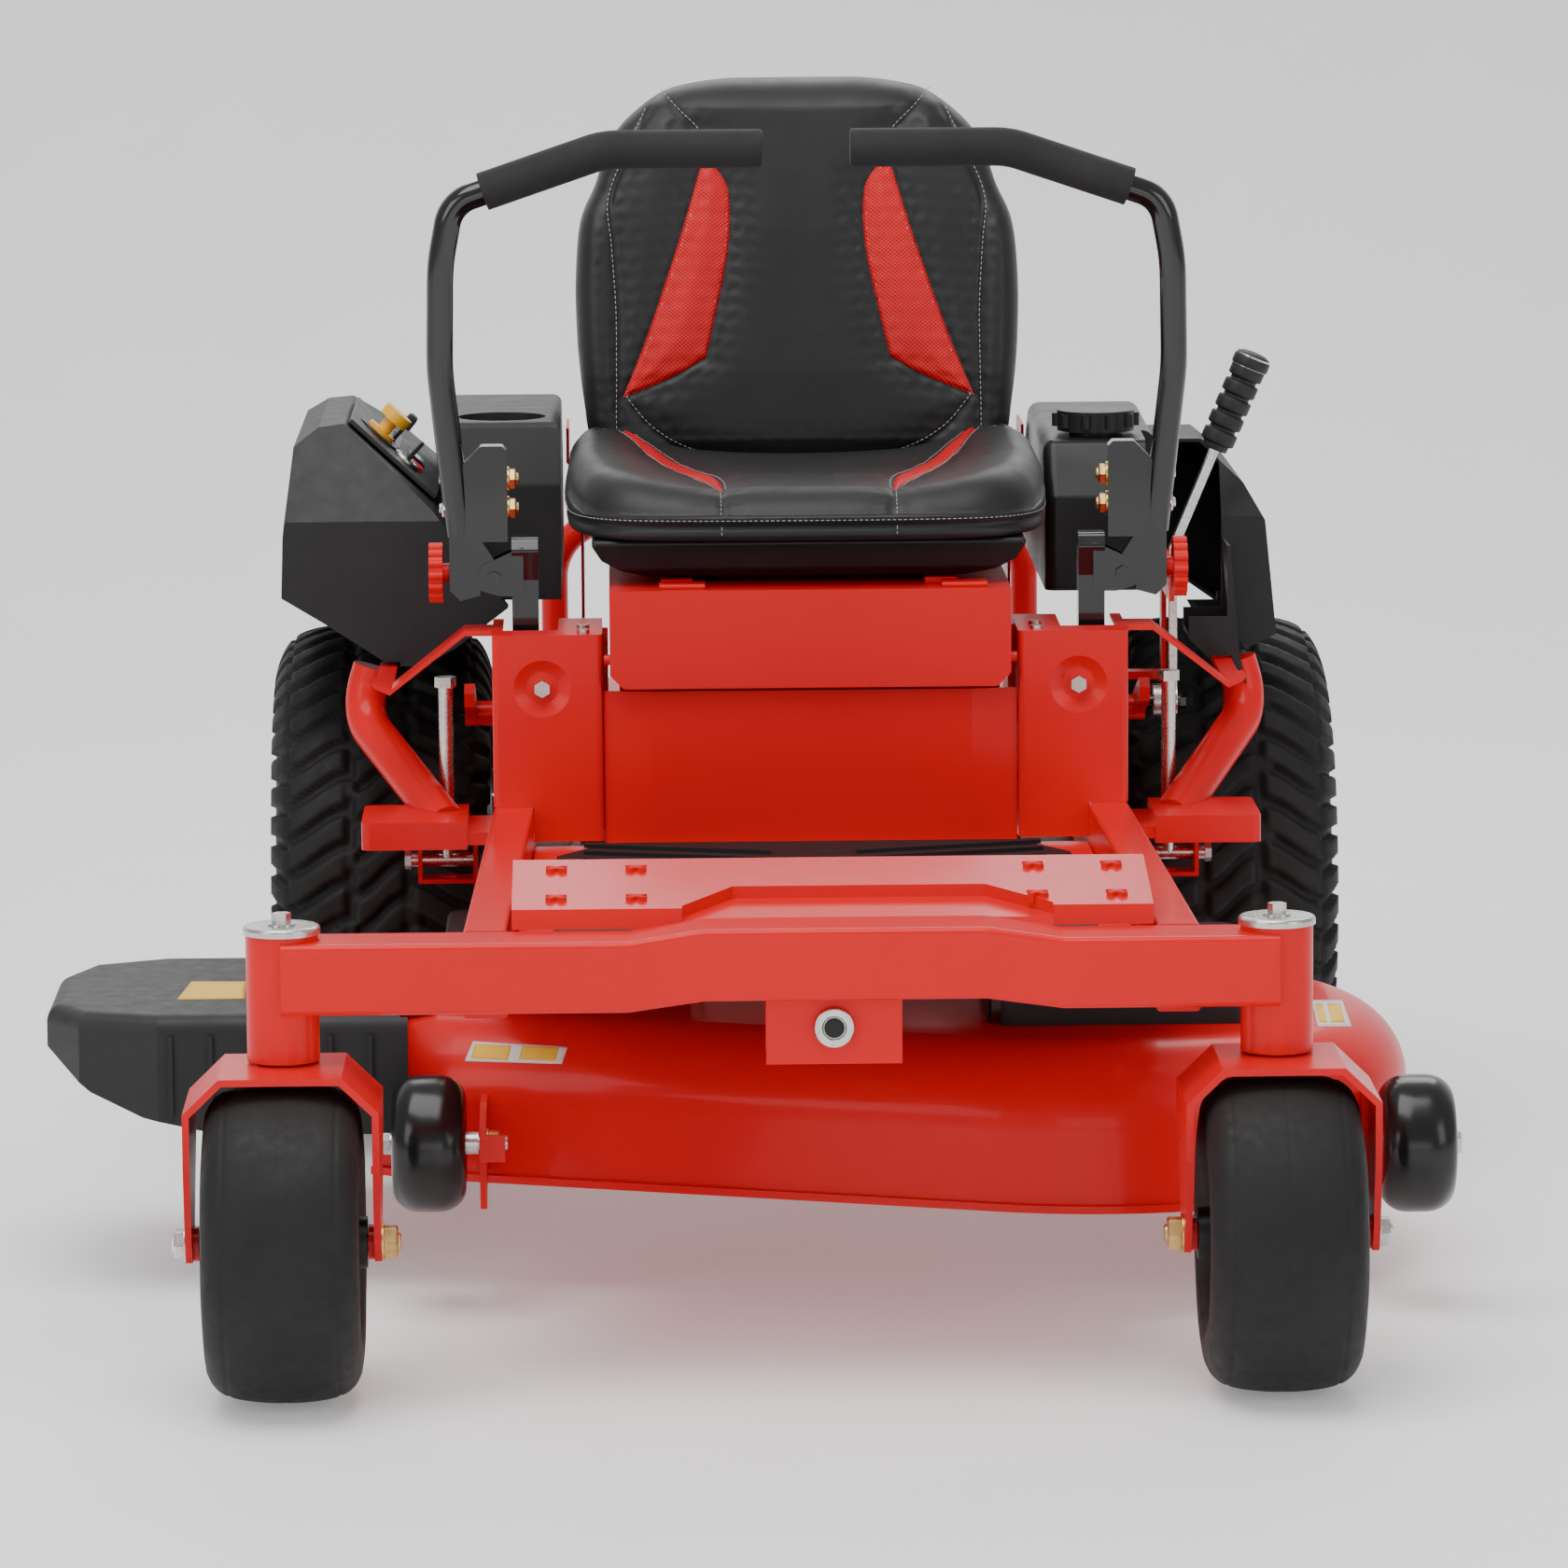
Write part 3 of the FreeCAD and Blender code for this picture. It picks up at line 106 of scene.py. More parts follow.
def add_bump(nt, b, src, strength, dist):
    n = nt.nodes.new("ShaderNodeBump")
    n.inputs["Strength"].default_value = strength
    n.inputs["Distance"].default_value = dist
    nt.links.new(src, n.inputs["Height"])
    if b.inputs["Normal"].links:
        nt.links.new(b.inputs["Normal"].links[0].from_socket, n.inputs["Normal"])
    nt.links.new(n.outputs["Normal"], b.inputs["Normal"])


def make(name, col, rough, metal=0.0, vary=0.06, coat=0.0, coat_rough=0.08, grain=900.0, grain_s=0.1, grain_d=0.0002,
         rough_vary=0.05, sheen=0.0, spec=0.5, big=7.0):
    m, nt, b = nodes_of(name)
    n = noise(nt, big, 6.0)
    lo = [max(0, c * (1 - vary)) for c in col]
    hi = [min(1, c * (1 + vary)) for c in col]
    r = ramp(nt, n.outputs["Fac"], [(0.35, lo), (0.65, hi)])
    nt.links.new(r.outputs["Color"], b.inputs["Base Color"])
    n2 = noise(nt, big * 5, 5.0)
    rr = ramp(nt, n2.outputs["Fac"], [(0.3, max(0.02, rough - rough_vary)), (0.7, min(1, rough + rough_vary))])
    nt.links.new(rr.outputs["Color"], b.inputs["Roughness"])
    b.inputs["Metallic"].default_value = metal
    b.inputs["Coat Weight"].default_value = coat
    b.inputs["Coat Roughness"].default_value = coat_rough
    b.inputs["Sheen Weight"].default_value = sheen
    b.inputs["Specular IOR Level"].default_value = spec
    g = noise(nt, grain, 3.0)
    add_bump(nt, b, g.outputs["Fac"], grain_s, grain_d)
    return m


RED = make("red_powder_coat", (0.70, 0.004, 0.008), 0.32, vary=0.02, coat=0.12, coat_rough=0.1, grain=260, grain_s=0.08, grain_d=0.0003, rough_vary=0.02, spec=0.16)
RED_IN = make("red_knob_plastic", (0.68, 0.008, 0.012), 0.38, vary=0.03, grain=1500, grain_s=0.1, spec=0.2)
GLOSS = make("gloss_black_paint", (0.006, 0.006, 0.0065), 0.16, vary=0.15, coat=0.6, coat_rough=0.05, grain=300, grain_s=0.08, grain_d=0.0003, rough_vary=0.03, spec=0.35)
SATIN = make("satin_black_paint", (0.010, 0.010, 0.0105), 0.38, vary=0.15, grain=700, grain_s=0.12, spec=0.3)
PLAS = make("moulded_black_plastic", (0.018, 0.0185, 0.020), 0.5, vary=0.08, grain=2600, grain_s=0.35, grain_d=0.00018, rough_vary=0.05, big=12, spec=0.3)
PLAS2 = make("smooth_black_plastic", (0.012, 0.012, 0.013), 0.34, spec=0.3, vary=0.1, grain=1800, grain_s=0.15, grain_d=0.0001)
PANEL = make("panel_grey_plastic", (0.035, 0.036, 0.039), 0.45, vary=0.08, grain=2600, grain_s=0.3, grain_d=0.00015, spec=0.3)
GAUGE = make("glossy_wheel_plastic", (0.007, 0.007, 0.007), 0.22, vary=0.2, grain=160, grain_s=0.1, grain_d=0.0005, rough_vary=0.05, spec=0.4)
ZINC = make("zinc_plate", (0.62, 0.61, 0.58), 0.28, metal=1.0, vary=0.12, grain=900, grain_s=0.12, grain_d=0.0001, big=60, rough_vary=0.08)
GOLD = make("yellow_zinc", (0.62, 0.42, 0.16), 0.3, metal=1.0, vary=0.18, grain=900, grain_s=0.12, grain_d=0.0001, big=80)
CAST = make("cast_alloy", (0.42, 0.42, 0.42), 0.5, metal=1.0, vary=0.12, grain=500, grain_s=0.5, grain_d=0.0004, big=30)
STEEL = make("bare_steel", (0.3, 0.3, 0.31), 0.38, metal=1.0, vary=0.2, grain=700, grain_s=0.15, grain_d=0.0002, big=40)
EXH = make("exhaust_steel", (0.26, 0.25, 0.24), 0.55, metal=1.0, vary=0.25, grain=400, grain_s=0.3, grain_d=0.0003, big=18)
FOAM = make("grip_foam", (0.022, 0.022, 0.023), 0.75, vary=0.1, grain=1400, grain_s=0.5, grain_d=0.0004, sheen=0.05, spec=0.2)
MAT = make("mat_rubber", (0.013, 0.013, 0.014), 0.62, vary=0.12, grain=1100, grain_s=0.35, grain_d=0.0003, spec=0.25)
YEL = make("yellow_plastic", (0.92, 0.46, 0.015), 0.36, vary=0.05, grain=1500, grain_s=0.12)
THREAD = make("grey_thread", (0.36, 0.36, 0.37), 0.7, vary=0.1, grain=3000, grain_s=0.4, grain_d=0.0001)
VINYL = make("seat_vinyl", (0.0125, 0.0125, 0.0135), 0.45, vary=0.12, grain=1100, grain_s=0.45, grain_d=0.00028, sheen=0.03, rough_vary=0.05, spec=0.34)
TYRE = make("tyre_rubber", (0.0135, 0.013, 0.013), 0.62, vary=0.14, grain=420, grain_s=0.3, grain_d=0.0004, rough_vary=0.08, big=16, spec=0.25)


def perforated():
    """Red vinyl with rows of small punched holes, 4 mm apart."""
    m, nt, b = nodes_of("red_perforated_vinyl")
    tc = nt.nodes.new("ShaderNodeTexCoord")
    sep = nt.nodes.new("ShaderNodeSeparateXYZ")
    nt.links.new(tc.outputs["Object"], sep.inputs[0])

    def math_node(op, a, bb=None):
        n = nt.nodes.new("ShaderNodeMath")
        n.operation = op
        for k, v in enumerate((a, bb)):
            if v is None:
                continue
            if isinstance(v, (int, float)):
                n.inputs[k].default_value = v
            else:
                nt.links.new(v, n.inputs[k])
        return n.outputs[0]
    pitch = 0.0042
    up = math_node("ADD", sep.outputs["Z"], math_node("MULTIPLY", sep.outputs["Y"], 0.6))

    def wave(src, off):
        a = math_node("MULTIPLY", src, 2 * math.pi / pitch)
        return math_node("COSINE", math_node("ADD", a, off))
    grid = math_node("ADD", wave(sep.outputs["X"], 0.0), wave(up, 0.0))
    grid2 = math_node("ADD", wave(sep.outputs["X"], math.pi), wave(up, math.pi))
    both = math_node("MAXIMUM", grid, grid2)
    hole = nt.nodes.new("ShaderNodeMapRange")
    hole.inputs["From Min"].default_value = 1.25
    hole.inputs["From Max"].default_value = 1.6
    nt.links.new(both, hole.inputs["Value"])
    n = noise(nt, 20, 5)
    c = ramp(nt, n.outputs["Fac"], [(0.3, (0.62, 0.006, 0.010)), (0.7, (0.72, 0.012, 0.016))])
    mix = nt.nodes.new("ShaderNodeMix")
    mix.data_type = "RGBA"
    nt.links.new(hole.outputs["Result"], mix.inputs[0])
    nt.links.new(c.outputs["Color"], mix.inputs[6])
    # the dark red in the holes is painted shade inside each punched hole
    mix.inputs[7].default_value = (0.16, 0.006, 0.008, 1)
    nt.links.new(mix.outputs[2], b.inputs["Base Color"])
    b.inputs["Roughness"].default_value = 0.48
    b.inputs["Specular IOR Level"].default_value = 0.25
    inv = math_node("SUBTRACT", 1.0, hole.outputs["Result"])
    add_bump(nt, b, inv, 0.6, 0.0004)
    g = noise(nt, 1100, 3)
    add_bump(nt, b, g.outputs["Fac"], 0.25, 0.0002)
    return m


PERF = perforated()

LOOK = {
    "red": (RED, ["front_beam", "toe_plate", "seat_pedestals", "floor_pan", "side_brackets", "chassis_rails", "rear_frame",
                  "seat_platform", "deck_shell", "deck_brackets", "caster_fork_left", "caster_fork_right", "rockshaft"]),
    "gloss": (GLOSS, ["lap_bar_left", "lap_bar_right", "control_arm_left", "control_arm_right", "pivot_brackets"]),
    "rim": (SATIN, ["rim_front_left", "rim_front_right", "rim_rear_left", "rim_rear_right"]),
    "tyre": (TYRE, ["tyre_front_left", "tyre_front_right", "tyre_rear_left", "tyre_rear_right"]),
    "gauge": (GAUGE, ["gauge_wheel_left", "gauge_wheel_right"]),
    "zinc": (ZINC, ["caster_bearings", "frame_bolts", "deck_pins", "front_link", "height_lever"]),
    "plas": (PLAS, ["console_right", "cup_moulding", "console_left", "chute", "blower_housing", "deck_covers"]),
    "plas2": (PLAS2, ["fuel_tank", "fuel_cap", "seat_base"]),
    "panel": (PANEL, ["control_panel"]),
    "mat": (MAT, ["floor_mat", "drive_belt", "deck_belt"]),
    "foam": (FOAM, ["lap_grip_left", "lap_grip_right"]),
    "knob": (RED_IN, ["lap_knob_left", "lap_knob_right"]),
    "yel": (YEL, ["pto_knob"]),
    "vinyl": (VINYL, ["seat_cushion", "seat_back"]),
    "cast": (CAST, ["engine_block", "transaxles", "spindle_housings"]),
    "steel": (STEEL, ["blade_left", "blade_right", "pto_pulley"]),
    "exh": (EXH, ["muffler"]),
}
for m, names in LOOK.values():
    for n in names:
        o = NODES[n]
        o.data.materials.clear()
        o.data.materials.append(m)

SOFT_EDGE = ["front_beam", "toe_plate", "seat_pedestals", "floor_pan", "side_brackets", "seat_platform", "deck_brackets",
             "caster_fork_left", "caster_fork_right", "console_right", "cup_moulding", "console_left", "fuel_tank", "chute",
             "deck_covers", "blower_housing", "caster_bearings", "lap_bar_left", "lap_bar_right", "control_arm_left",
             "control_arm_right", "control_panel", "rear_frame", "muffler", "transaxles", "engine_block", "chassis_rails",
             "frame_bolts", "deck_pins", "height_lever", "fuel_cap", "floor_mat", "seat_base"]
BIG = {"console_right": 0.005, "console_left": 0.005, "cup_moulding": 0.004, "fuel_tank": 0.004, "chute": 0.0022, "seat_base": 0.006}
for n in SOFT_EDGE:
    o = NODES[n]
    b = o.modifiers.new("soft_edges", "BEVEL")
    b.width = BIG.get(n, 0.0011)
    b.segments = 3 if n in BIG else 2
    b.limit_method = "ANGLE"
    b.angle_limit = math.radians(40)
    b.harden_normals = False
    b.use_clamp_overlap = True


def obj(name, verts, faces, mats, body, smooth=True, slot=None, replaces=()):
    me = bpy.data.meshes.new(name)
    me.from_pydata([tuple(v) for v in verts], [], faces)
    me.validate()
    me.update()
    for m in mats:
        me.materials.append(m)
    if smooth:
        me.polygons.foreach_set("use_smooth", [True] * len(me.polygons))
    o = bpy.data.objects.new(name, me)
    bpy.context.scene.collection.objects.link(o)
    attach(o, body)
    if replaces:
        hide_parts(*replaces)
    return o


# ------------------------------------------------------------------ mesh helpers (working frame, mm)
def interp(x, pts):
    p = sorted(pts)
    return np.interp(x, [a for a, _ in p], [b for _, b in p])


def seg_dist(P, line):
    """Distance from each 2-D point to a polyline."""
    P = np.asarray(P, float)
    best = np.full(len(P), 1e9)
    for a, b in zip(line[:-1], line[1:]):
        a, b = np.array(a, float), np.array(b, float)
        d = b - a
        t = np.clip(((P - a) @ d) / (d @ d), 0, 1)
        best = np.minimum(best, np.linalg.norm(P - (a + t[:, None] * d), axis=1))
    return best


def smooth_line(pts, n=60):
    """Catmull-Rom line through 2-D or 3-D points."""
    p = [np.array(q, float) for q in pts]
    p = [2 * p[0] - p[1]] + p + [2 * p[-1] - p[-2]]
    out = []
    for i in range(1, len(p) - 2):
        for k in range(n):
            t = k / n
            out.append(0.5 * ((2 * p[i]) + (-p[i - 1] + p[i + 1]) * t + (2 * p[i - 1] - 5 * p[i] + 4 * p[i + 1] - p[i + 2]) * t * t
                              + (-p[i - 1] + 3 * p[i] - 3 * p[i + 1] + p[i + 2]) * t ** 3))
    out.append(p[-2])
    return np.array(out)


def hashed(a, b, c, s):
    """Smooth repeatable wave noise, about -1 to 1."""
    return (np.sin(a * 1.3 * s + 1.7 * np.sin(b * 0.9 * s + 0.5)) + np.sin(b * 1.7 * s + 1.3 * np.sin(c * 1.1 * s + 2.1))
            + np.sin(c * 1.5 * s + 1.9 * np.sin(a * 0.7 * s + 4.2))) / 3


def grid_faces(nu, nv, wrap_u=False, start=0, flip=False):
    f = []
    for i in range(nu if wrap_u else nu - 1):
        for j in range(nv - 1):
            a = start + i * nv + j
            b = start + ((i + 1) % nu) * nv + j
            f.append((a, b, b + 1, a + 1) if not flip else (a, a + 1, b + 1, b))
    return f


def tube(name, line, r, mat, body, seg=12, ripple=None, smooth=True, **k):
    """Round tube along a 3-D line (mm)."""
    line = np.array(line, float)
    T = np.gradient(line, axis=0)
    T /= np.linalg.norm(T, axis=1)[:, None]
    up = np.array([0, 0, 1.0]) if abs(T[0][2]) < 0.9 else np.array([1.0, 0, 0])
    V = []
    n = np.cross(T[0], up)
    for i, (p, t) in enumerate(zip(line, T)):
        n = n - t * (n @ t)
        n /= np.linalg.norm(n)
        b = np.cross(t, n)
        rr = r * (ripple(i) if ripple else 1)
        for s in range(seg):
            a = 2 * math.pi * s / seg
            V.append(W(*(p + rr * (math.cos(a) * n + math.sin(a) * b))))
    F = []
    m = len(line)
    for i in range(m - 1):
        for s in range(seg):
            a, b = i * seg + s, i * seg + (s + 1) % seg
            F.append((a, b, b + seg, a + seg))
    F.append(tuple(range(seg))[::-1])
    F.append(tuple((m - 1) * seg + s for s in range(seg)))
    return obj(name, V, F, [mat], body, smooth=smooth, **k)


def stitches(name, line, body, pitch=5.2, length=3.6, r=0.45, mat=None, lift=(0, 0, 0)):
    """A row of thread stitches lying along a 3-D line (mm), as one mesh of small rounded capsules."""
    line = np.array(line, float)
    d = np.linalg.norm(np.diff(line, axis=0), axis=1)
    s = np.concatenate([[0], np.cumsum(d)])
    V, F = [], []
    n = int(s[-1] / pitch)
    for i in range(n):
        a, b = i * pitch, i * pitch + length
        pa = np.array([np.interp(a, s, line[:, k]) for k in range(3)]) + lift
        pb = np.array([np.interp(b, s, line[:, k]) for k in range(3)]) + lift
        t = pb - pa
        if np.linalg.norm(t) < 1e-6:
            continue
        t /= np.linalg.norm(t)
        u = np.cross(t, [0.3, 0.2, 0.93])
        u /= np.linalg.norm(u)
        w = np.cross(t, u)
        base = len(V)
        rings = [(pa, 0.45), (pa + t * length * 0.18, 1.0), (pb - t * length * 0.18, 1.0), (pb, 0.45)]
        for c, k in rings:
            for q in range(6):
                an = q * math.pi / 3
                V.append(W(*(c + r * k * (math.cos(an) * u + math.sin(an) * w))))
        for g in range(3):
            for q in range(6):
                F.append((base + g * 6 + q, base + g * 6 + (q + 1) % 6, base + (g + 1) * 6 + (q + 1) % 6, base + (g + 1) * 6 + q))
        F.append(tuple(base + q for q in range(6))[::-1])
        F.append(tuple(base + 18 + q for q in range(6)))
    return obj(name, V, F, [mat or THREAD], body, slot="seat_vinyl")


# ------------------------------------------------------------------ seat back
HW = [(640, 172), (668, 196), (700, 208), (727, 212), (758, 216), (795, 219), (850, 220), (905, 215), (941, 200), (975, 188.5), (996, 177), (1015, 158), (1033, 132), (1041, 105), (1045.5, 70)]
YF = [(640, 2), (668, -34), (694, -45), (760, -38), (900, -8), (1020, 22), (1050, 36)]
OUT = [(x, z) for z, x in HW] + [(35, 1046)]
half = smooth_line(OUT, 10)
loop = np.concatenate([half, [[0, 1046]], half[::-1] * [-1, 1], smooth_line([(-172, 640), (-90, 636.5), (0, 636), (90, 636.5), (172, 640)], 14)[1:-1]])
d = np.linalg.norm(np.diff(np.vstack([loop, loop[:1]]), axis=0), axis=1)
s = np.concatenate([[0], np.cumsum(d)])
NA = 420
at = np.linspace(0, s[-1], NA, endpoint=False)
L2 = np.vstack([loop, loop[:1]])
loop = np.stack([np.interp(at, s, L2[:, 0]), np.interp(at, s, L2[:, 1])], 1)
BOL = smooth_line([(146, 1018), (168, 972), (184, 930), (181, 888), (177, 824), (177, 760), (177, 700), (170, 660)], 12)
TOPS = smooth_line([(136, 1036), (118, 1016), (99, 997), (92, 978), (90, 961)], 12)
INS_IN = smooth_line([(80, 961), (68, 940), (66.5, 900), (72, 860), (82, 815), (91.5, 775)], 12)
INS_OUT = smooth_line([(95, 960), (112, 905), (130, 851), (152, 790), (174, 737)], 12)
BOT = smooth_line([(174, 737), (126, 756), (91.5, 775)], 12)
LOW = smooth_line([(174, 737), (150, 708), (120, 688), (90, 678), (45, 674), (0, 673)], 12)
SEAMS_B = [BOL, TOPS, INS_IN, INS_OUT, BOT, LOW]


def back_y(x, z):
    """Front surface of the seat back, before its edge is rounded off."""
    ax = np.abs(x)
    y = interp(z, YF)
    P = np.stack([ax, z], 1)
    ds = np.min([seg_dist(P, l) for l in SEAMS_B], axis=0)
    xb = np.interp(z, BOL[::-1, 1], BOL[::-1, 0])
    bol = 1 / (1 + np.exp(-(ax - xb - 4) / 7))
    y = y - 11 * bol * np.clip((1010 - z) / 90, 0, 1)                 # side bolsters stand forward
    y = y + 9 * np.exp(-(ax / 95) ** 2) * np.clip((z - 640) / 60, 0, 1)   # hollow for the back
    y = y - 5.0 * (1 - np.exp(-(ds / 20) ** 2))                        # foam rises between the seams
    y = y + 2.6 * np.exp(-(ds / 2.6) ** 2)                             # stitched valley
    near = np.exp(-(ds / 26) ** 2)
    y = y + near * 0.9 * hashed(ax * 0.16, z * 0.16, ax * 0.02 + 3, 1.6) + 0.7 * hashed(x * 0.02, z * 0.02, z * 0.01, 1.3)
    return y - 2.0


C0 = np.array([0.0, 850.0])
RHO = np.concatenate([np.linspace(0.02, 0.86, 84), np.linspace(0.865, 1.0, 26)])
V, RND = [], 32.0
for a in range(NA):
    e = loop[a] - C0
    le = np.linalg.norm(e)
    P = C0 + RHO[:, None] * e
    dd = (1 - RHO) * le
    y = back_y(P[:, 0], P[:, 1])
    edge = interp(P[:, 1], [(640, 8), (700, 0), (1046, 54)]) * 0 + 1
    k = np.clip(1 - dd / RND, 0, 1)
    y = y + RND * 1.15 * (1 - np.sqrt(np.maximum(0, 1 - k ** 2)))
    for p, yy in zip(P, y):
        V.append((p[0], yy, p[1]))
nf = len(RHO)
F = grid_faces(NA, nf, wrap_u=True)
# rim and back skin
BR = [(1.003, 6), (1.0, 20), (0.985, 34), (0.95, 44), (0.88, 50), (0.6, 54), (0.25, 56), (0.02, 56)]
V = np.array(V).reshape(NA, nf, 3)
rim = V[:, -1, :]
extra = []
for a in range(NA):
    e = loop[a] - C0
    for rho, dy in BR:
        p = C0 + min(rho, 1.0) * e
        yb = interp(p[1], [(640, 36), (850, 40), (1046, 62)]) + dy * 0.62
        extra.append((p[0], max(yb, rim[a][1] + 0.4 * dy) if rho > 0.94 else yb, p[1]))
extra = np.array(extra).reshape(NA, len(BR), 3)
allv = np.concatenate([V, extra], axis=1)
nt = allv.shape[1]
F = grid_faces(NA, nt, wrap_u=True)
verts = [W(*p) for p in allv.reshape(-1, 3)]
F.append(tuple(a * nt for a in range(NA))[::-1])
F.append(tuple(a * nt + nt - 1 for a in range(NA)))
seat_back = obj("seat_back_cover", verts, F, [VINYL, PLAS2], "seat", slot="seat_vinyl", replaces=["seat_back"])
for p in seat_back.data.polygons:
    j = min(v % nt for v in p.vertices)
    if j >= nf + 2 and len(p.vertices) == 4:
        p.material_index = 1


def strip_between(name, la, lb, surf, lift, mat, n=60, m=14, sx=1):
    """Cloth panel between two edge lines given as 2-D polylines, laid on a surface."""
    def res(l, n):
        d = np.linalg.norm(np.diff(l, axis=0), axis=1)
        s = np.concatenate([[0], np.cumsum(d)]) / d.sum()
        t = np.linspace(0, 1, n)
        return np.stack([np.interp(t, s, l[:, 0]), np.interp(t, s, l[:, 1])], 1)
    A, B = res(la, n), res(lb, n)
    V = []
    for i in range(n):
        for j in range(m):
            V.append(A[i] + (B[i] - A[i]) * j / (m - 1))
    V = np.array(V)
    P3 = surf(V[:, 0], V[:, 1], lift)
    top = [W(sx * p[0], p[1], p[2]) for p in P3]
    P4 = surf(V[:, 0], V[:, 1], -1.2)
    bot = [W(sx * p[0], p[1], p[2]) for p in P4]
    k = len(top)
    F = grid_faces(n, m, flip=sx < 0) + grid_faces(n, m, start=k, flip=sx > 0)
    per = [i * m for i in range(n)] + [(n - 1) * m + j for j in range(1, m)] + [i * m + m - 1 for i in range(n - 2, -1, -1)] + [j for j in range(m - 2, 0, -1)]
    for a, b in zip(per, per[1:] + per[:1]):
        F.append((a, a + k, b + k, b) if sx > 0 else (a, b, b + k, a + k))
    o = obj(name, top + bot, F, [mat], "seat", slot="seat_vinyl")
    bm = bmesh.new()
    bm.from_mesh(o.data)
    bmesh.ops.recalc_face_normals(bm, faces=bm.faces)
    bm.to_mesh(o.data)
    bm.free()
    return o


def on_back(x, z, lift):
    return np.stack([x, back_y(x, z) - lift, z], 1)


OUTL = np.vstack([INS_OUT, ])
for sx, side in ((1, "left"), (-1, "right")):
    inn = np.vstack([INS_IN, BOT[::-1]])
    strip_between("back_insert_" + side, inn, INS_OUT, on_back, 0.9, PERF, n=90, m=20, sx=sx)
    for nm, l, off in (("bolster", BOL, -3.2), ("top", TOPS, 3), ("in", INS_IN, -3.4), ("out", INS_OUT, 3.6), ("low", LOW, 3.2)):
        T = np.gradient(l, axis=0)
        T /= np.linalg.norm(T, axis=1)[:, None]
        N = np.stack([T[:, 1], -T[:, 0]], 1)
        q = l + off * N
        y = back_y(q[:, 0], q[:, 1])
        stitches("stitch_back_%s_%s" % (nm, side), np.stack([sx * q[:, 0], y - 0.25, q[:, 1]], 1), "seat")


# ------------------------------------------------------------------ seat cushion
PLAN = [(0, -471), (80, -470), (140, -464), (180, -451), (207, -424), (222, -378), (228, -300), (228, -200), (225, -100), (217, -30), (200, 6), (160, 17), (80, 18), (0, 18)]
half = smooth_line(PLAN, 14)
loop = np.concatenate([half, half[::-1][1:-1] * [-1, 1]])
L2 = np.vstack([loop, loop[:1]])
s = np.concatenate([[0], np.cumsum(np.linalg.norm(np.diff(L2, axis=0), axis=1))])
NC = 440
at = np.linspace(0, s[-1], NC, endpoint=False)
loop = np.stack([np.interp(at, s, L2[:, 0]), np.interp(at, s, L2[:, 1])], 1)
CR_OUT = smooth_line([(184, -8), (173, -62), (152, -178), (124, -290), (98, -372), (84, -428)], 14)
CR_IN = smooth_line([(184, -8), (156, -76), (124, -190), (98, -280), (84, -355), (81, -428)], 14)
FRONT = smooth_line([(82, -428), (80, -446), (79, -475)], 10)
REARC = smooth_line([(184, -8), (196, -60), (212, -92), (240, -112)], 10)
SEAMS_C = [CR_OUT, CR_IN, FRONT, REARC]


def cushion_z(x, y):
    ax = np.abs(x)
    P = np.stack([ax, y], 1)
    z = np.full(len(ax), 685.0)
    bol = 1 / (1 + np.exp(-(ax - 150) / 16))
    z = z + bol * np.interp(y, [-470, -330, -150, 0], [9, 17, 27, 29])
    z = z - 5 * np.exp(-(ax / 110) ** 2) * np.clip((y + 430) / 150, 0, 1)
    z = z + np.interp(y, [-470, -400, -330, -200, 20], [-3, 3, 4, 0, -4])
    ds = np.min([seg_dist(P, l) for l in SEAMS_C], axis=0)
    z = z + 3.2 * (1 - np.exp(-(ds / 22) ** 2)) - 2.6 * np.exp(-(ds / 2.6) ** 2)
    z = z + np.exp(-(ds / 24) ** 2) * 0.9 * hashed(ax * 0.16, y * 0.16, 0.3 + ax * 0.02, 1.7) + 0.8 * hashed(x * 0.02, y * 0.02, 0.4, 1.2)
    return z


CC = np.array([0.0, -224.0])
RHC = np.concatenate([np.linspace(0.02, 0.80, 70), np.linspace(0.807, 1.0, 34)])
rows = []
SIDE = [(1.008, 676), (1.012, 668), (1.008, 661), (0.996, 656.0), (0.990, 653.6), (0.996, 651.4), (1.004, 648.5), (1.0, 643.5), (0.985, 641.4), (0.93, 641.2), (0.5, 641.2), (0.02, 641.2)]
for a in range(NC):
    e = loop[a] - CC
    le = np.linalg.norm(e)
    P = CC + RHC[:, None] * e
    z = cushion_z(P[:, 0], P[:, 1])
    front = np.clip((-e[1] / le - 0.35) / 0.5, 0, 1)
    R = 30 + 18 * front
    k = np.clip(1 - (1 - RHC) * le / R, 0, 1)
    z = z - R * 0.92 * (1 - np.sqrt(np.maximum(0, 1 - k ** 2)))
    row = [(p[0], p[1], max(zz, 664)) for p, zz in zip(P, z)]
    zr = row[-1][2]
    for rho, zz in SIDE:
        p = CC + rho * e
        row.append((p[0], p[1], min(zz + 0.5 * math.sin(a * 0.9) * (zz > 650), zr - 0.4) if zz > 660 else zz))
    rows.append(row)
nt = len(rows[0])
nrc = len(RHC)
F = grid_faces(NC, nt, wrap_u=True)
F.append(tuple(a * nt for a in range(NC))[::-1])
F.append(tuple(a * nt + nt - 1 for a in range(NC)))
cushion = obj("seat_cushion_cover", [W(*p) for r in rows for p in r], F, [VINYL], "seat", slot="seat_vinyl", replaces=["seat_cushion"])


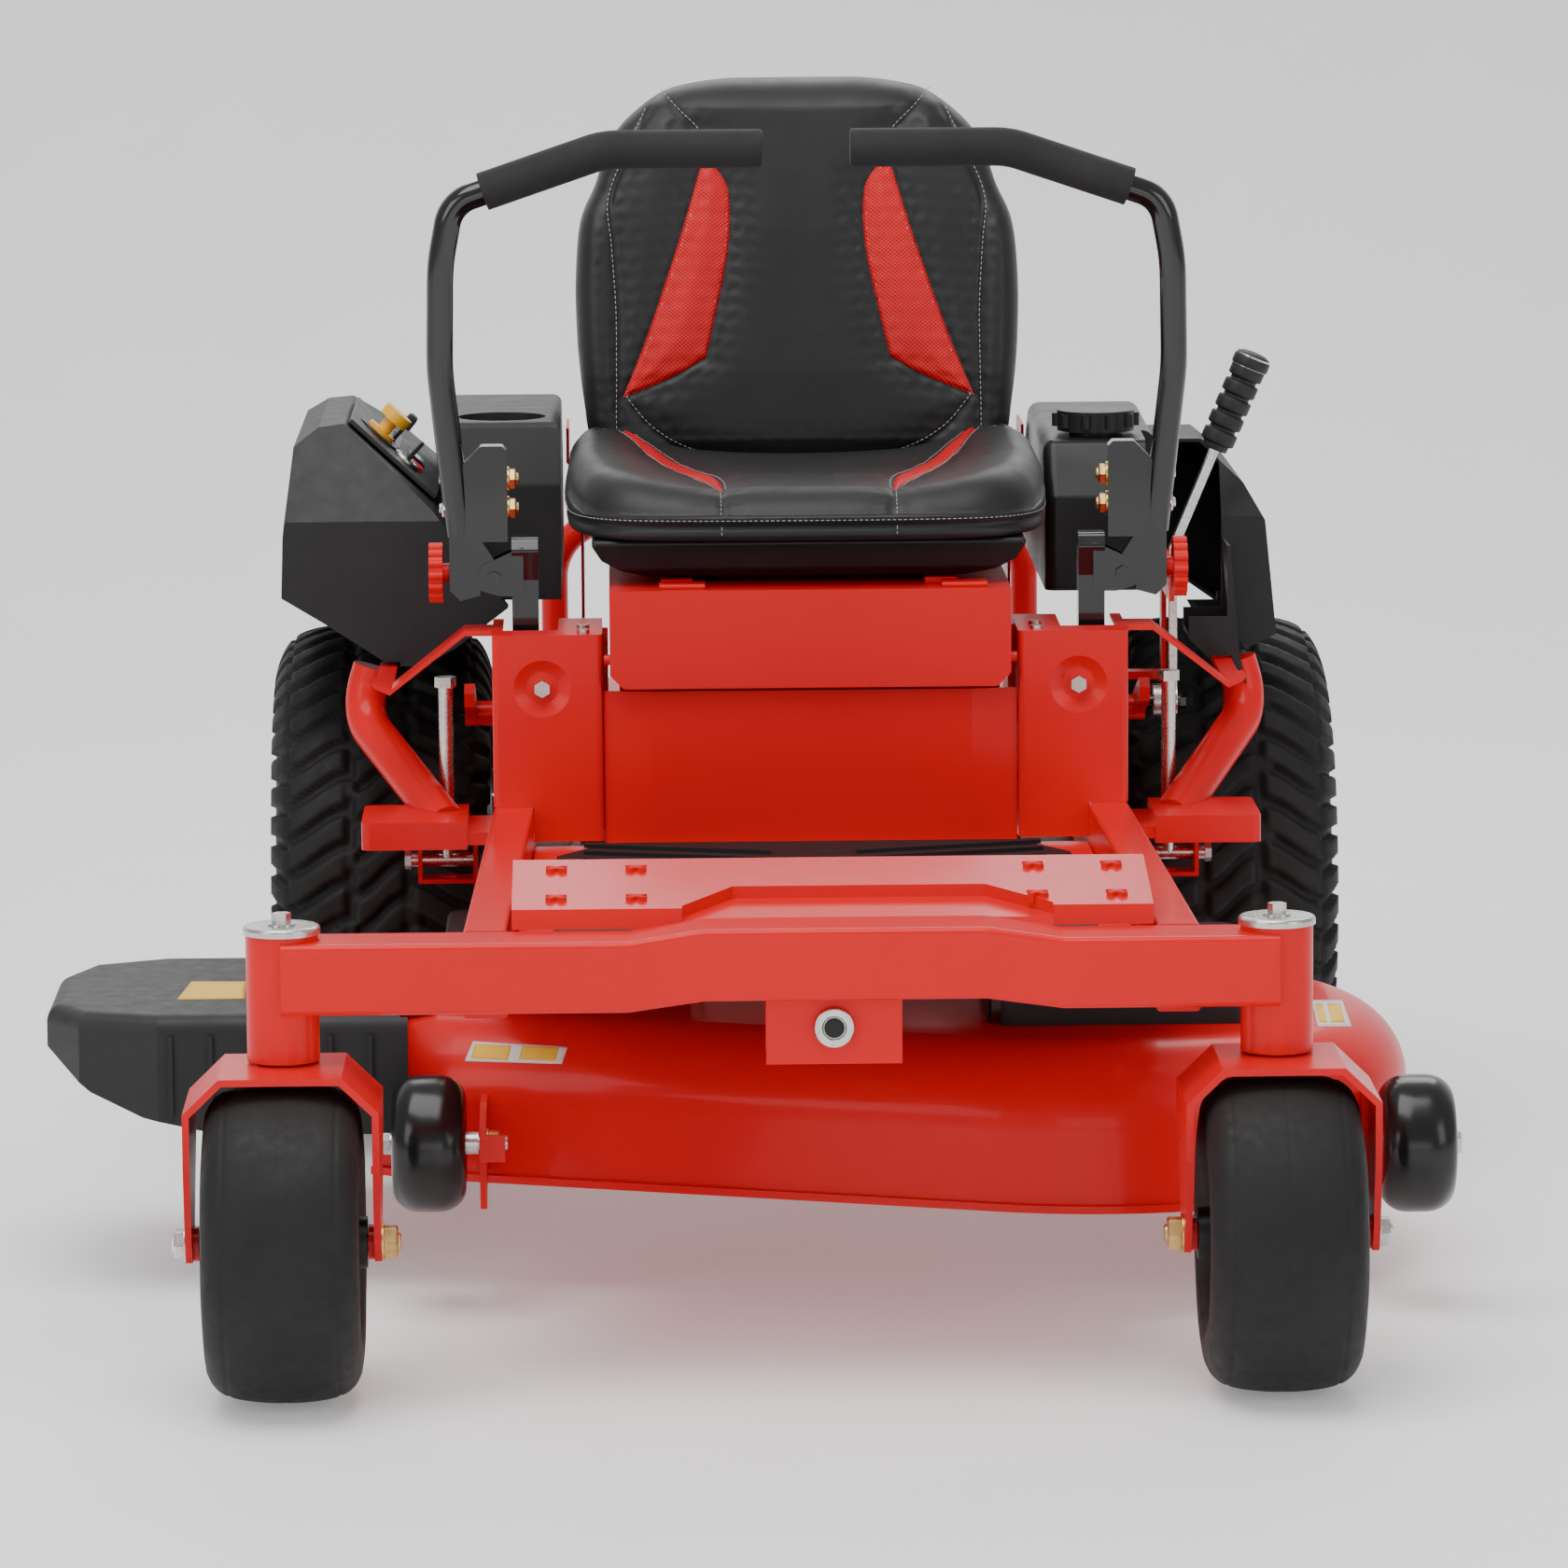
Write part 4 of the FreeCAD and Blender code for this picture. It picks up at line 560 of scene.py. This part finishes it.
def on_cushion(x, y, lift):
    z = cushion_z(x, y)
    P = np.stack([x, y], 1)
    out = []
    for p, zz in zip(P, z):
        e = p - CC
        n = np.linalg.norm(e)
        if n < 1:
            out.append((p[0], p[1], zz + lift))
            continue
        u = e / n
        # distance along the ray to the outline
        an = np.arctan2(loop[:, 1] - CC[1], loop[:, 0] - CC[0])
        i = np.argmin(np.abs(np.angle(np.exp(1j * (an - math.atan2(u[1], u[0]))))))
        le = np.linalg.norm(loop[i] - CC)
        front = np.clip((-u[1] - 0.35) / 0.5, 0, 1)
        R = 30 + 18 * front
        k = np.clip(1 - (le - n) / R, 0, 0.995)
        out.append((p[0], p[1], zz - R * 0.92 * (1 - math.sqrt(1 - k * k)) + lift))
    return np.array(out)


for sx, side in ((1, "left"), (-1, "right")):
    strip_between("cushion_insert_" + side, CR_IN, CR_OUT, on_cushion, 0.9, PERF, n=90, m=12, sx=sx)
    for nm, l, off in (("crescent_in", CR_IN, 3.2), ("crescent_out", CR_OUT, -3.4), ("rear_corner", REARC[:-16], 3)):
        T = np.gradient(l, axis=0)
        T /= np.maximum(1e-6, np.linalg.norm(T, axis=1))[:, None]
        q = l + off * np.stack([T[:, 1], -T[:, 0]], 1)
        p = on_cushion(q[:, 0], q[:, 1], 0.25)
        stitches("stitch_cushion_%s_%s" % (nm, side), p * [sx, 1, 1], "seat")
    fr = np.array([(79.5 + 3.4, y) for y in np.linspace(-428, -468, 24)])
    p = on_cushion(fr[:, 0], fr[:, 1], 0.3)
    p = np.vstack([p, [(82.4, -473.4, z) for z in np.linspace(p[-1][2] - 3, 659, 8)]])
    stitches("stitch_cushion_front_" + side, p * [sx, 1, 1], "seat")
ring_line = np.array([((CC + 1.011 * (q - CC))[0], (CC + 1.011 * (q - CC))[1], 660.6) for q in np.vstack([loop, loop[:1]])])
stitches("stitch_cushion_ring", ring_line, "seat", lift=(0, 0, 0))


# ------------------------------------------------------------------ tyres
def smooth_step(x, a, b):
    t = np.clip((x - a) / (b - a), 0, 1)
    return t * t * (3 - 2 * t)


def tyre(name, cx, cy, cz, prof, ncirc, rad, body, replaced, inner):
    """Tyre from a cross profile (offset, radius) and a relief function rad(angle, run, offset, radius) in mm."""
    prof = np.array(prof, float)
    d = np.concatenate([[0], np.cumsum(np.linalg.norm(np.diff(prof, axis=0), axis=1))])
    T = np.gradient(prof, axis=0)
    T /= np.linalg.norm(T, axis=1)[:, None]
    N = np.stack([-T[:, 1], T[:, 0]], 1)
    out = []
    npf = len(prof)
    for i in range(ncirc):
        a = 2 * math.pi * i / ncirc
        h = rad(a, d, prof[:, 0], prof[:, 1])
        q = prof + N * h[:, None]
        for x, r in q:
            out.append(W(cx + x, cy + r * math.cos(a), cz + r * math.sin(a)))
        for x, r in inner:
            out.append(W(cx + x, cy + r * math.cos(a), cz + r * math.sin(a)))
    nv = npf + len(inner)
    F = []
    for i in range(ncirc):
        for j in range(nv):
            a, b = i * nv + j, i * nv + (j + 1) % nv
            c, e = ((i + 1) % ncirc) * nv + j, ((i + 1) % ncirc) * nv + (j + 1) % nv
            F.append((a, c, e, b))
    o = obj(name, out, F, [TYRE], body, slot="tyre_rubber", replaces=[replaced])
    bm = bmesh.new()
    bm.from_mesh(o.data)
    bmesh.ops.recalc_face_normals(bm, faces=bm.faces)
    bm.to_mesh(o.data)
    bm.free()
    return o


def resample(pts, step):
    l = smooth_line(pts, 24)
    d = np.concatenate([[0], np.cumsum(np.linalg.norm(np.diff(l, axis=0), axis=1))])
    at = np.linspace(0, d[-1], int(d[-1] / step) + 1)
    return np.stack([np.interp(at, d, l[:, 0]), np.interp(at, d, l[:, 1])], 1)


FP = resample([(-51, 66.5), (-60, 77), (-66.2, 92), (-66, 106), (-61.5, 119), (-52, 128), (-38, 132.6), (-18, 135.2), (0, 135.8), (18, 135.2), (38, 132.6),
               (52, 128), (61.5, 119), (66, 106), (66.2, 92), (60, 77), (51, 66.5)], 1.9)


def front_relief(a, d, x, r):
    ax = np.abs(x)
    h = -0.35 * np.exp(-(x / 0.9) ** 2)                                       # mould parting line
    h = h - 0.9 * np.exp(-((ax - 47) / 1.4) ** 2) * (r > 120)                  # shoulder groove
    h = h + 0.5 * np.exp(-((r - 112) / 1.2) ** 2) * (ax > 55) + 0.4 * np.exp(-((r - 88) / 1.2) ** 2) * (ax > 55)
    for k in range(22):                                                        # small vent marks
        th = 2 * math.pi * k / 22
        dx = 30 if k % 2 else -30
        dd = np.sqrt(((a - th + math.pi) % (2 * math.pi) - math.pi) ** 2 * 135 ** 2 + (x - dx) ** 2)
        h = h - 0.5 * np.exp(-(dd / 1.8) ** 2) * (r > 125)
    return h + 0.12 * np.sin(7 * a + x * 0.05)


RP = resample([(-85.5, 104.5), (-96, 118), (-102.5, 142), (-103.6, 172), (-101, 200), (-94, 222), (-82, 236), (-60, 243), (-30, 245.3), (0, 245.8), (30, 245.3), (60, 243),
               (82, 236), (94, 222), (101, 200), (103.6, 172), (102.5, 142), (96, 118), (85.5, 104.5)], 3.0)


def rear_relief(a, d, x, r):
    """Turf lugs: three staggered rows of slanted blocks, the outer rows running down the shoulder."""
    n = 44
    t = a / (2 * math.pi) * n
    h = np.zeros(len(x))
    mid = d[-1] / 2
    s = d - mid                                   # run across the tread from the centre
    for c, w, sk, ph, sgn in ((0, 24, 0.9, 0.0, 1), (-60, 29, 0.75, 0.5, -1), (60, 29, 0.75, 0.5, -1), (-106, 20, 0.35, 0.12, 1), (106, 20, 0.35, 0.12, 1)):
        u = (s - c) / w
        m = 1 - smooth_step(np.abs(u), 0.84, 1.08)
        shift = sk * 0.5 * np.sin(u * math.pi * 0.5) * sgn * (1 if c >= 0 else -1 if c else 1)
        f = np.abs(((t + shift + ph) % 1.0) - 0.5) * 2
        h = np.maximum(h, m * (1 - smooth_step(f, 0.58, 0.78)))
    # short joining bars between rows
    for c in (-31, 31):
        u = (s - c) / 9
        m = 1 - smooth_step(np.abs(u), 0.8, 1.15)
        f = np.abs(((t * 0.5 + 0.25 + (0.25 if c > 0 else 0)) % 1.0) - 0.5) * 2
        h = np.maximum(h, m * (1 - smooth_step(f, 0.2, 0.34)) * 0.75)
    h = h * 7.6 * (1 - smooth_step(np.abs(s), 122, 134))
    side = np.abs(s) > 132
    h = h + np.where(side, 0.8 * np.exp(-((r - 186) / 1.6) ** 2) + 0.8 * np.exp(-((r - 132) / 1.6) ** 2), 0)
    return h + 0.15 * np.sin(5 * a + x * 0.03)


for side, px, cx in (("right", -469.0, -415.5), ("left", 378.5, 415.5)):
    tyre("front_tyre_" + side, px, -1270, 136, FP, 300, front_relief, "front_wheel_" + side, "tyre_front_" + side, [(46, 68), (0, 69), (-46, 68)])
    tyre("rear_tyre_" + side, cx, 0, 254, RP, 528, rear_relief, "drive_wheel_" + side, "tyre_rear_" + side, [(80, 107), (0, 109), (-80, 107)])


# ------------------------------------------------------------------ fasteners, covers over the plain ones
def lathe_x(name, base, direction, prof, mat, body, seg=48, hexring=(), smooth=True, **k):
    """Turned piece: prof lists (run along direction, radius); rows in hexring are drawn as hexagons."""
    base, u = np.array(base, float), np.array(direction, float)
    u /= np.linalg.norm(u)
    n = np.cross(u, [0, 0, 1.0] if abs(u[2]) < 0.9 else [1.0, 0, 0])
    n /= np.linalg.norm(n)
    b = np.cross(u, n)
    V, F = [], []
    for i, (t, r) in enumerate(prof):
        for s in range(seg):
            a = 2 * math.pi * s / seg
            rr = r
            if i in hexring:
                rr = r * math.cos(math.pi / 6) / math.cos((a % (math.pi / 3)) - math.pi / 6)
            V.append(W(*(base + u * t + rr * (math.cos(a) * n + math.sin(a) * b))))
    m = len(prof)
    for i in range(m - 1):
        for s in range(seg):
            p, q = i * seg + s, i * seg + (s + 1) % seg
            F.append((p, q, q + seg, p + seg))
    F.append(tuple(range(seg))[::-1])
    F.append(tuple((m - 1) * seg + s for s in range(seg)))
    o = obj(name, V, F, [mat], body, smooth=False, **k)
    bm = bmesh.new()
    bm.from_mesh(o.data)
    bmesh.ops.recalc_face_normals(bm, faces=bm.faces)
    bm.to_mesh(o.data)
    bm.free()
    for p in o.data.polygons:
        p.use_smooth = smooth and len(p.vertices) == 4
    md = o.modifiers.new("soft", "BEVEL")
    md.width, md.segments, md.limit_method = 0.0006, 2, "ANGLE"
    return o


def nut(name, base, d, r, h, mat, body, washer=0.0):
    """Hexagon nut with a crowned end over its stud and, if asked, a washer."""
    prof, hx = [], []
    if washer:
        prof += [(0.0, washer), (2.0, washer), (2.05, r * 0.99)]
    else:
        prof += [(0.0, r * 0.99)]
    k = len(prof)
    prof += [(prof[-1][0] + 0.4, r * 1.155), (h - 1.6, r * 1.155), (h - 0.2, r * 0.98)]
    hx = [k, k + 1, k + 2]
    prof += [(h, r * 0.62), (h + 1.8, r * 0.58), (h + 2.4, r * 0.5)]
    return lathe_x(name, base, d, prof, mat, body, hexring=hx, smooth=False)


for side, px, o in (("right", -469.0, -1), ("left", 378.5, 1)):
    nut("axle_nut_" + side, (px - o * 83.0, -1270, 136), (-o, 0, 0), 13.0, 14.0, GOLD, "caster_" + side, washer=16.5)
    nut("axle_head_" + side, (px + o * 83.0, -1270, 136), (o, 0, 0), 11.8, 10.2, ZINC, "caster_" + side, washer=15)
for side, s in (("right", -1), ("left", 1)):
    for z in (667, 695):
        nut("lap_nut_%s_%d" % (side, z), (s * 284.6, -400, z), (-s, 0, 0), 8.9, 8.8, GOLD, "lap_" + side, washer=11.5)
        nut("lap_head_%s_%d" % (side, z), (s * 339.9, -400, z), (s, 0, 0), 7.8, 6.9, ZINC, "lap_" + side, washer=10)
nut("gauge_nut_right", (-303.0, -900, 150.5), (1, 0, 0), 10.1, 12.6, GOLD, "deck", washer=13)

# ribbed grip of the height lever
gp, gd = np.array([400.0, -215.0, 700.0]), np.array([43.0, 0, 100.0])
prof = [(-2.0, 9), (-1.5, 12.6), (3, 13.0)]
for i in range(5):
    a = 6 + i * 17
    prof += [(a - 1.6, 13.0), (a - 0.4, 16.4), (a + 1, 16.9), (a + 10, 16.9), (a + 11.4, 16.4), (a + 12.4, 13.0)]
prof += [(83, 13.4), (84.2, 17.6), (86, 18.3), (93, 18.3), (97, 16.2), (99.4, 11), (100.2, 4)]
lathe_x("lever_grip_cover", gp, gd, prof, PLAS, "lever", seg=56)


# ------------------------------------------------------------------ patches laid on the machine along the view of the camera
def camera_rays():
    P, Yw, R = math.radians(8.19), math.radians(1.148), math.radians(0.4)
    f = Vector((math.sin(Yw) * math.cos(P), math.cos(Yw) * math.cos(P), -math.sin(P)))
    rt = Vector((math.cos(Yw), -math.sin(Yw), 0))
    u = rt.cross(f)
    return f, math.cos(R) * rt - math.sin(R) * u, math.sin(R) * rt + math.cos(R) * u


def decal(name, corners, node, mat, body, n=16, m=8, lift=0.0005):
    """Thin label following the surface of a CAD node; corners are (right, up) slopes from the viewing point."""
    f, r, u = camera_rays()
    eye = Vector((-0.107, -7.50497, 1.49))
    o = NODES[node]
    dg = bpy.context.evaluated_depsgraph_get()
    inv = o.matrix_world.inverted()
    V = []
    for i in range(n):
        for j in range(m):
            a, b = i / (n - 1), j / (m - 1)
            top = [corners[0][k] * (1 - a) + corners[1][k] * a for k in (0, 1)]
            low = [corners[3][k] * (1 - a) + corners[2][k] * a for k in (0, 1)]
            q = [top[k] * (1 - b) + low[k] * b for k in (0, 1)]
            d = (f + r * q[0] + u * q[1]).normalized()
            hit, loc, nor, _ = o.ray_cast(inv @ eye, (inv.to_3x3() @ d).normalized())
            if not hit:
                return None
            wl = o.matrix_world @ loc
            wn = (o.matrix_world.to_3x3() @ nor).normalized()
            if wn.dot(d) > 0:
                wn = -wn
            V.append((wl, wn))
    top = [p + nn * lift for p, nn in V]
    bot = [p - nn * 0.0004 for p, nn in V]
    k = len(top)
    F = grid_faces(n, m) + grid_faces(n, m, start=k, flip=True)
    per = [i * m for i in range(n)] + [(n - 1) * m + j for j in range(1, m)] + [i * m + m - 1 for i in range(n - 2, -1, -1)] + [j for j in range(m - 2, 0, -1)]
    for a, b in zip(per, per[1:] + per[:1]):
        F.append((a, a + k, b + k, b))
    ob = obj(name, top + bot, F, [mat], body)
    bm = bmesh.new()
    bm.from_mesh(ob.data)
    bmesh.ops.recalc_face_normals(bm, faces=bm.faces)
    bm.to_mesh(ob.data)
    bm.free()
    return ob


def px(x, y):
    return ((x - 840) / 8600, (840 - y) / 8600)


WHITE = make("label_white", (0.72, 0.72, 0.70), 0.45, vary=0.03, grain=900, grain_s=0.05, spec=0.3)
LABY = make("label_yellow", (0.85, 0.50, 0.03), 0.45, vary=0.04, grain=900, grain_s=0.05, spec=0.3)
bpy.context.view_layer.update()
decal("deck_label", [px(507, 1116), px(608, 1122), px(602, 1140), px(498, 1137)], "deck_shell", WHITE, "deck")
for i, (x0, x1) in enumerate(((505, 548), (556, 599))):
    decal("deck_label_tab_%d" % i, [px(x0 + 4, 1119 + i * 2), px(x1, 1121 + i * 2), px(x1 - 4, 1136 + i), px(x0, 1134 + i)], "deck_shell", LABY, "deck", lift=0.0008)
decal("deck_label_left", [px(1405, 1072), px(1438, 1072), px(1448, 1100), px(1412, 1100)], "deck_shell", WHITE, "deck")
for i, (x0, x1) in enumerate(((1409, 1419), (1422, 1438))):
    decal("deck_label_left_tab_%d" % i, [px(x0, 1076), px(x1 - 2, 1076), px(x1 + 3, 1096), px(x0 + 4, 1096)], "deck_shell", LABY, "deck", lift=0.0008)
decal("chute_label", [px(205, 1052), px(264, 1052), px(262, 1070), px(190, 1071)], "chute", LABY, "chute")


# ------------------------------------------------------------------ control panel details
pu = np.array([87.0, 0, -81.0]) / math.hypot(87, 81)      # down the slope of the panel
pn_ = np.array([81.0, 0, 87.0]) / math.hypot(87, 81)      # out of the panel
P0 = np.array([-398.3, 0.0, 694.2]) + pn_ * 0.6


def on_panel(a, y, h=0.0):
    return P0 + pu * a + np.array([0, y, 0.0]) + pn_ * h


lathe_x("pto_bezel", on_panel(-21.5, -120, 0.2), pn_, [(0, 24), (1.6, 24), (2.6, 22.5), (2.8, 16.4), (0.6, 16.2), (0.4, 15.6)], PLAS2, "frame", seg=64)
lathe_x("key_switch", on_panel(14, -140, 0.2), pn_, [(0, 15), (3, 15), (4.2, 13.5), (4.4, 9), (3.2, 8.6)], ZINC, "frame", seg=56)
lathe_x("key_barrel", on_panel(14, -140, 2.4), pn_, [(0, 7.6), (1.6, 7.6), (2.2, 7)], SATIN, "frame", seg=40)


def slab(name, c, u, v, w, hu, hv, h0, h1, mat, body, r=0.0008, taper=1.0):
    """Rounded block on a slanted face: half sizes hu, hv along u, v and heights h0 to h1 along w."""
    V = []
    for h, k in ((h0, 1.0), (h1, taper)):
        for a, b in ((-1, -1), (1, -1), (1, 1), (-1, 1)):
            V.append(W(*(c + u * a * hu * k + v * b * hv * k + w * h)))
    F = [(0, 3, 2, 1), (4, 5, 6, 7), (0, 1, 5, 4), (1, 2, 6, 5), (2, 3, 7, 6), (3, 0, 4, 7)]
    o = obj(name, V, F, [mat], body, smooth=False)
    bm = bmesh.new()
    bm.from_mesh(o.data)
    bmesh.ops.recalc_face_normals(bm, faces=bm.faces)
    bmesh.ops.subdivide_edges(bm, edges=bm.edges[:], cuts=3, use_grid_fill=True)
    bm.to_mesh(o.data)
    bm.free()
    md = o.modifiers.new("soft", "BEVEL")
    md.width, md.segments, md.limit_method = r, 3, "ANGLE"
    return o


yv = np.array([0, 1.0, 0])
slab("key_bow", on_panel(14, -140, 0), pu, yv, pn_, 2.2, 10, 5, 26, SATIN, "frame", 0.0015, 0.8)
slab("throttle_plate", on_panel(-6, -40, 0), pu, yv, pn_, 9, 62, 0.2, 2.2, PLAS2, "frame", 0.0008)
slab("throttle_slot", on_panel(-6, -40, 0), pu, yv, pn_, 2.4, 52, 2.0, 2.5, MAT, "frame", 0.0002)
slab("throttle_lever", on_panel(-6, -62, 0), pu, yv, pn_, 2, 5, 2.4, 20, SATIN, "frame", 0.0006)
slab("throttle_knob", on_panel(-6, -62, 0), pu, yv, pn_, 6, 12, 18, 33, PLAS, "frame", 0.003, 0.8)
slab("panel_meter", on_panel(24, -70, 0), pu, yv, pn_, 11, 20, 0.2, 5, PLAS2, "frame", 0.0015, 0.9)
slab("panel_meter_glass", on_panel(24, -70, 0), pu, yv, pn_, 6.5, 15, 4.6, 5.6, GLOSS, "frame", 0.0005)
slab("panel_switch", on_panel(26, -112, 0), pu, yv, pn_, 8, 11, 0.2, 4, RED_IN, "frame", 0.0015, 0.9)


# ------------------------------------------------------------------ front link eye and clutch of small parts
lathe_x("beam_eye_face", (0, -1250.2, 313), (0, -1, 0), [(0, 17.2), (1.8, 17.2), (2.8, 16.0), (3.0, 10.4), (0.9, 9.8), (0.7, 6)], ZINC, "frame", seg=64)
lathe_x("beam_eye_pin", (0, -1250.2, 313), (0, -1, 0), [(0, 8.8), (2.0, 8.8), (3.0, 7.6), (3.2, 3)], SATIN, "frame", seg=48)


# ------------------------------------------------------------------ deck belt between the engine pulley and the deck, cut across into 48 slices along its run
src = NODES["deck_belt"]
bm = bmesh.new()
bm.from_mesh(src.data)
bm.transform(src.matrix_world)
ylo, yhi = min(v.co.y for v in bm.verts), max(v.co.y for v in bm.verts)
for i in range(1, 48):
    y = ylo + (yhi - ylo) * i / 48
    bmesh.ops.bisect_plane(bm, geom=bm.verts[:] + bm.edges[:] + bm.faces[:], plane_co=(0, y, 0), plane_no=(0, 1, 0), dist=1e-6)
me = bpy.data.meshes.new("deck_belt_run")
bm.to_mesh(me)
bm.free()
me.materials.clear()
me.materials.append(MAT)
belt_run = bpy.data.objects.new("deck_belt_run", me)
bpy.context.scene.collection.objects.link(belt_run)
bpy.context.view_layer.update()
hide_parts("deck_belt")
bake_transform(belt_run)


# ------------------------------------------------------------------ floor, light and camera
def floor():
    x0, x1, y0, y1 = -9, 9, -9, 3.2
    V, F = [], []
    prof = [(y0 + (y1 - y0) * i / 40, 0.0) for i in range(41)]
    R = 2.4
    prof += [(y1 + R * math.sin(a), R * (1 - math.cos(a))) for a in np.linspace(0.05, math.pi / 2, 24)]
    prof += [(y1 + R, R + 0.35 * i) for i in range(1, 16)]
    nx = 31
    for y, z in prof:
        for i in range(nx):
            V.append((x0 + (x1 - x0) * i / (nx - 1), y, z - 0.0006))
    for j in range(len(prof) - 1):
        for i in range(nx - 1):
            a = j * nx + i
            F.append((a, a + 1, a + nx + 1, a + nx))
    me = bpy.data.meshes.new("floor_sweep")
    me.from_pydata(V, [], F)
    me.materials.append(FLOOR)
    for p in me.polygons:
        p.use_smooth = True
    o = bpy.data.objects.new("floor_sweep", me)
    bpy.context.scene.collection.objects.link(o)
    o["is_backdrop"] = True


FLOOR = make("floor_white", (0.93, 0.933, 0.936), 0.55, vary=0.01, coat=0.0, grain=300.0, grain_s=0.02, spec=0.15)
fb = FLOOR.node_tree.nodes["Principled BSDF"]
fb.inputs["Emission Color"].default_value = (1, 1, 1, 1)
fb.inputs["Emission Strength"].default_value = 0.22
floor()


def area(name, loc, target, size, power, col=(1, 1, 1), size_y=None):
    l = bpy.data.lights.new(name, "AREA")
    l.energy, l.color, l.size = power, col, size
    if size_y:
        l.shape, l.size_y = "RECTANGLE", size_y
    o = bpy.data.objects.new(name, l)
    bpy.context.scene.collection.objects.link(o)
    o.location = loc
    o.rotation_euler = (Vector(target) - Vector(loc)).to_track_quat("-Z", "Y").to_euler()
    o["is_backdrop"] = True


area("key_top", (-0.6, -1.2, 4.2), (0, -0.1, 0.5), 3.2, 150, size_y=3.0)
area("front_left", (-4.2, -4.6, 2.6), (0, -0.2, 0.5), 2.6, 78, (1.0, 0.985, 0.97), size_y=3.2)
area("front_right", (4.4, -4.4, 2.4), (0, -0.2, 0.5), 2.6, 66, (0.97, 0.985, 1.0), size_y=3.2)
area("low_front", (0.2, -6.4, 0.75), (0, -0.9, 0.35), 3.0, 20, size_y=1.2)
area("rim_back", (0.4, 3.4, 3.2), (0, 0.2, 0.7), 3.4, 55, size_y=1.6)

w = bpy.data.worlds.new("studio")
bpy.context.scene.world = w
w.use_nodes = True
nt = w.node_tree
bg = nt.nodes["Background"]
tc = nt.nodes.new("ShaderNodeTexCoord")
gr = nt.nodes.new("ShaderNodeTexGradient")
mp = nt.nodes.new("ShaderNodeMapping")
mp.inputs["Rotation"].default_value = (0, math.radians(90), 0)
nt.links.new(tc.outputs["Generated"], mp.inputs["Vector"])
nt.links.new(mp.outputs["Vector"], gr.inputs["Vector"])
rp = nt.nodes.new("ShaderNodeValToRGB")
rp.color_ramp.elements[0].color = (0.80, 0.81, 0.82, 1)
rp.color_ramp.elements[1].color = (1.0, 1.0, 1.0, 1)
nt.links.new(gr.outputs["Fac"], rp.inputs["Fac"])
nt.links.new(rp.outputs["Color"], bg.inputs["Color"])
bg.inputs["Strength"].default_value = 0.55

PITCH, YAW, ROLL = math.radians(8.19), math.radians(1.148), math.radians(0.4)
fwd = Vector((math.sin(YAW) * math.cos(PITCH), math.cos(YAW) * math.cos(PITCH), -math.sin(PITCH)))
right = Vector((math.cos(YAW), -math.sin(YAW), 0))
up = right.cross(fwd)
r2 = math.cos(ROLL) * right - math.sin(ROLL) * up
u2 = math.sin(ROLL) * right + math.cos(ROLL) * up
cam = bpy.data.cameras.new("camera")
cam.sensor_width = 36.0
cam.lens = 8600 / 1680 * 36
cam.clip_end = 60
co = bpy.data.objects.new("camera", cam)
bpy.context.scene.collection.objects.link(co)
m3 = Matrix((r2, u2, -fwd)).transposed()
co.matrix_world = Matrix.Translation((-0.107, -7.50497, 1.49)) @ m3.to_4x4()
bpy.context.scene.camera = co

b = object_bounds()
[[float(c) for c in p] for p in b]
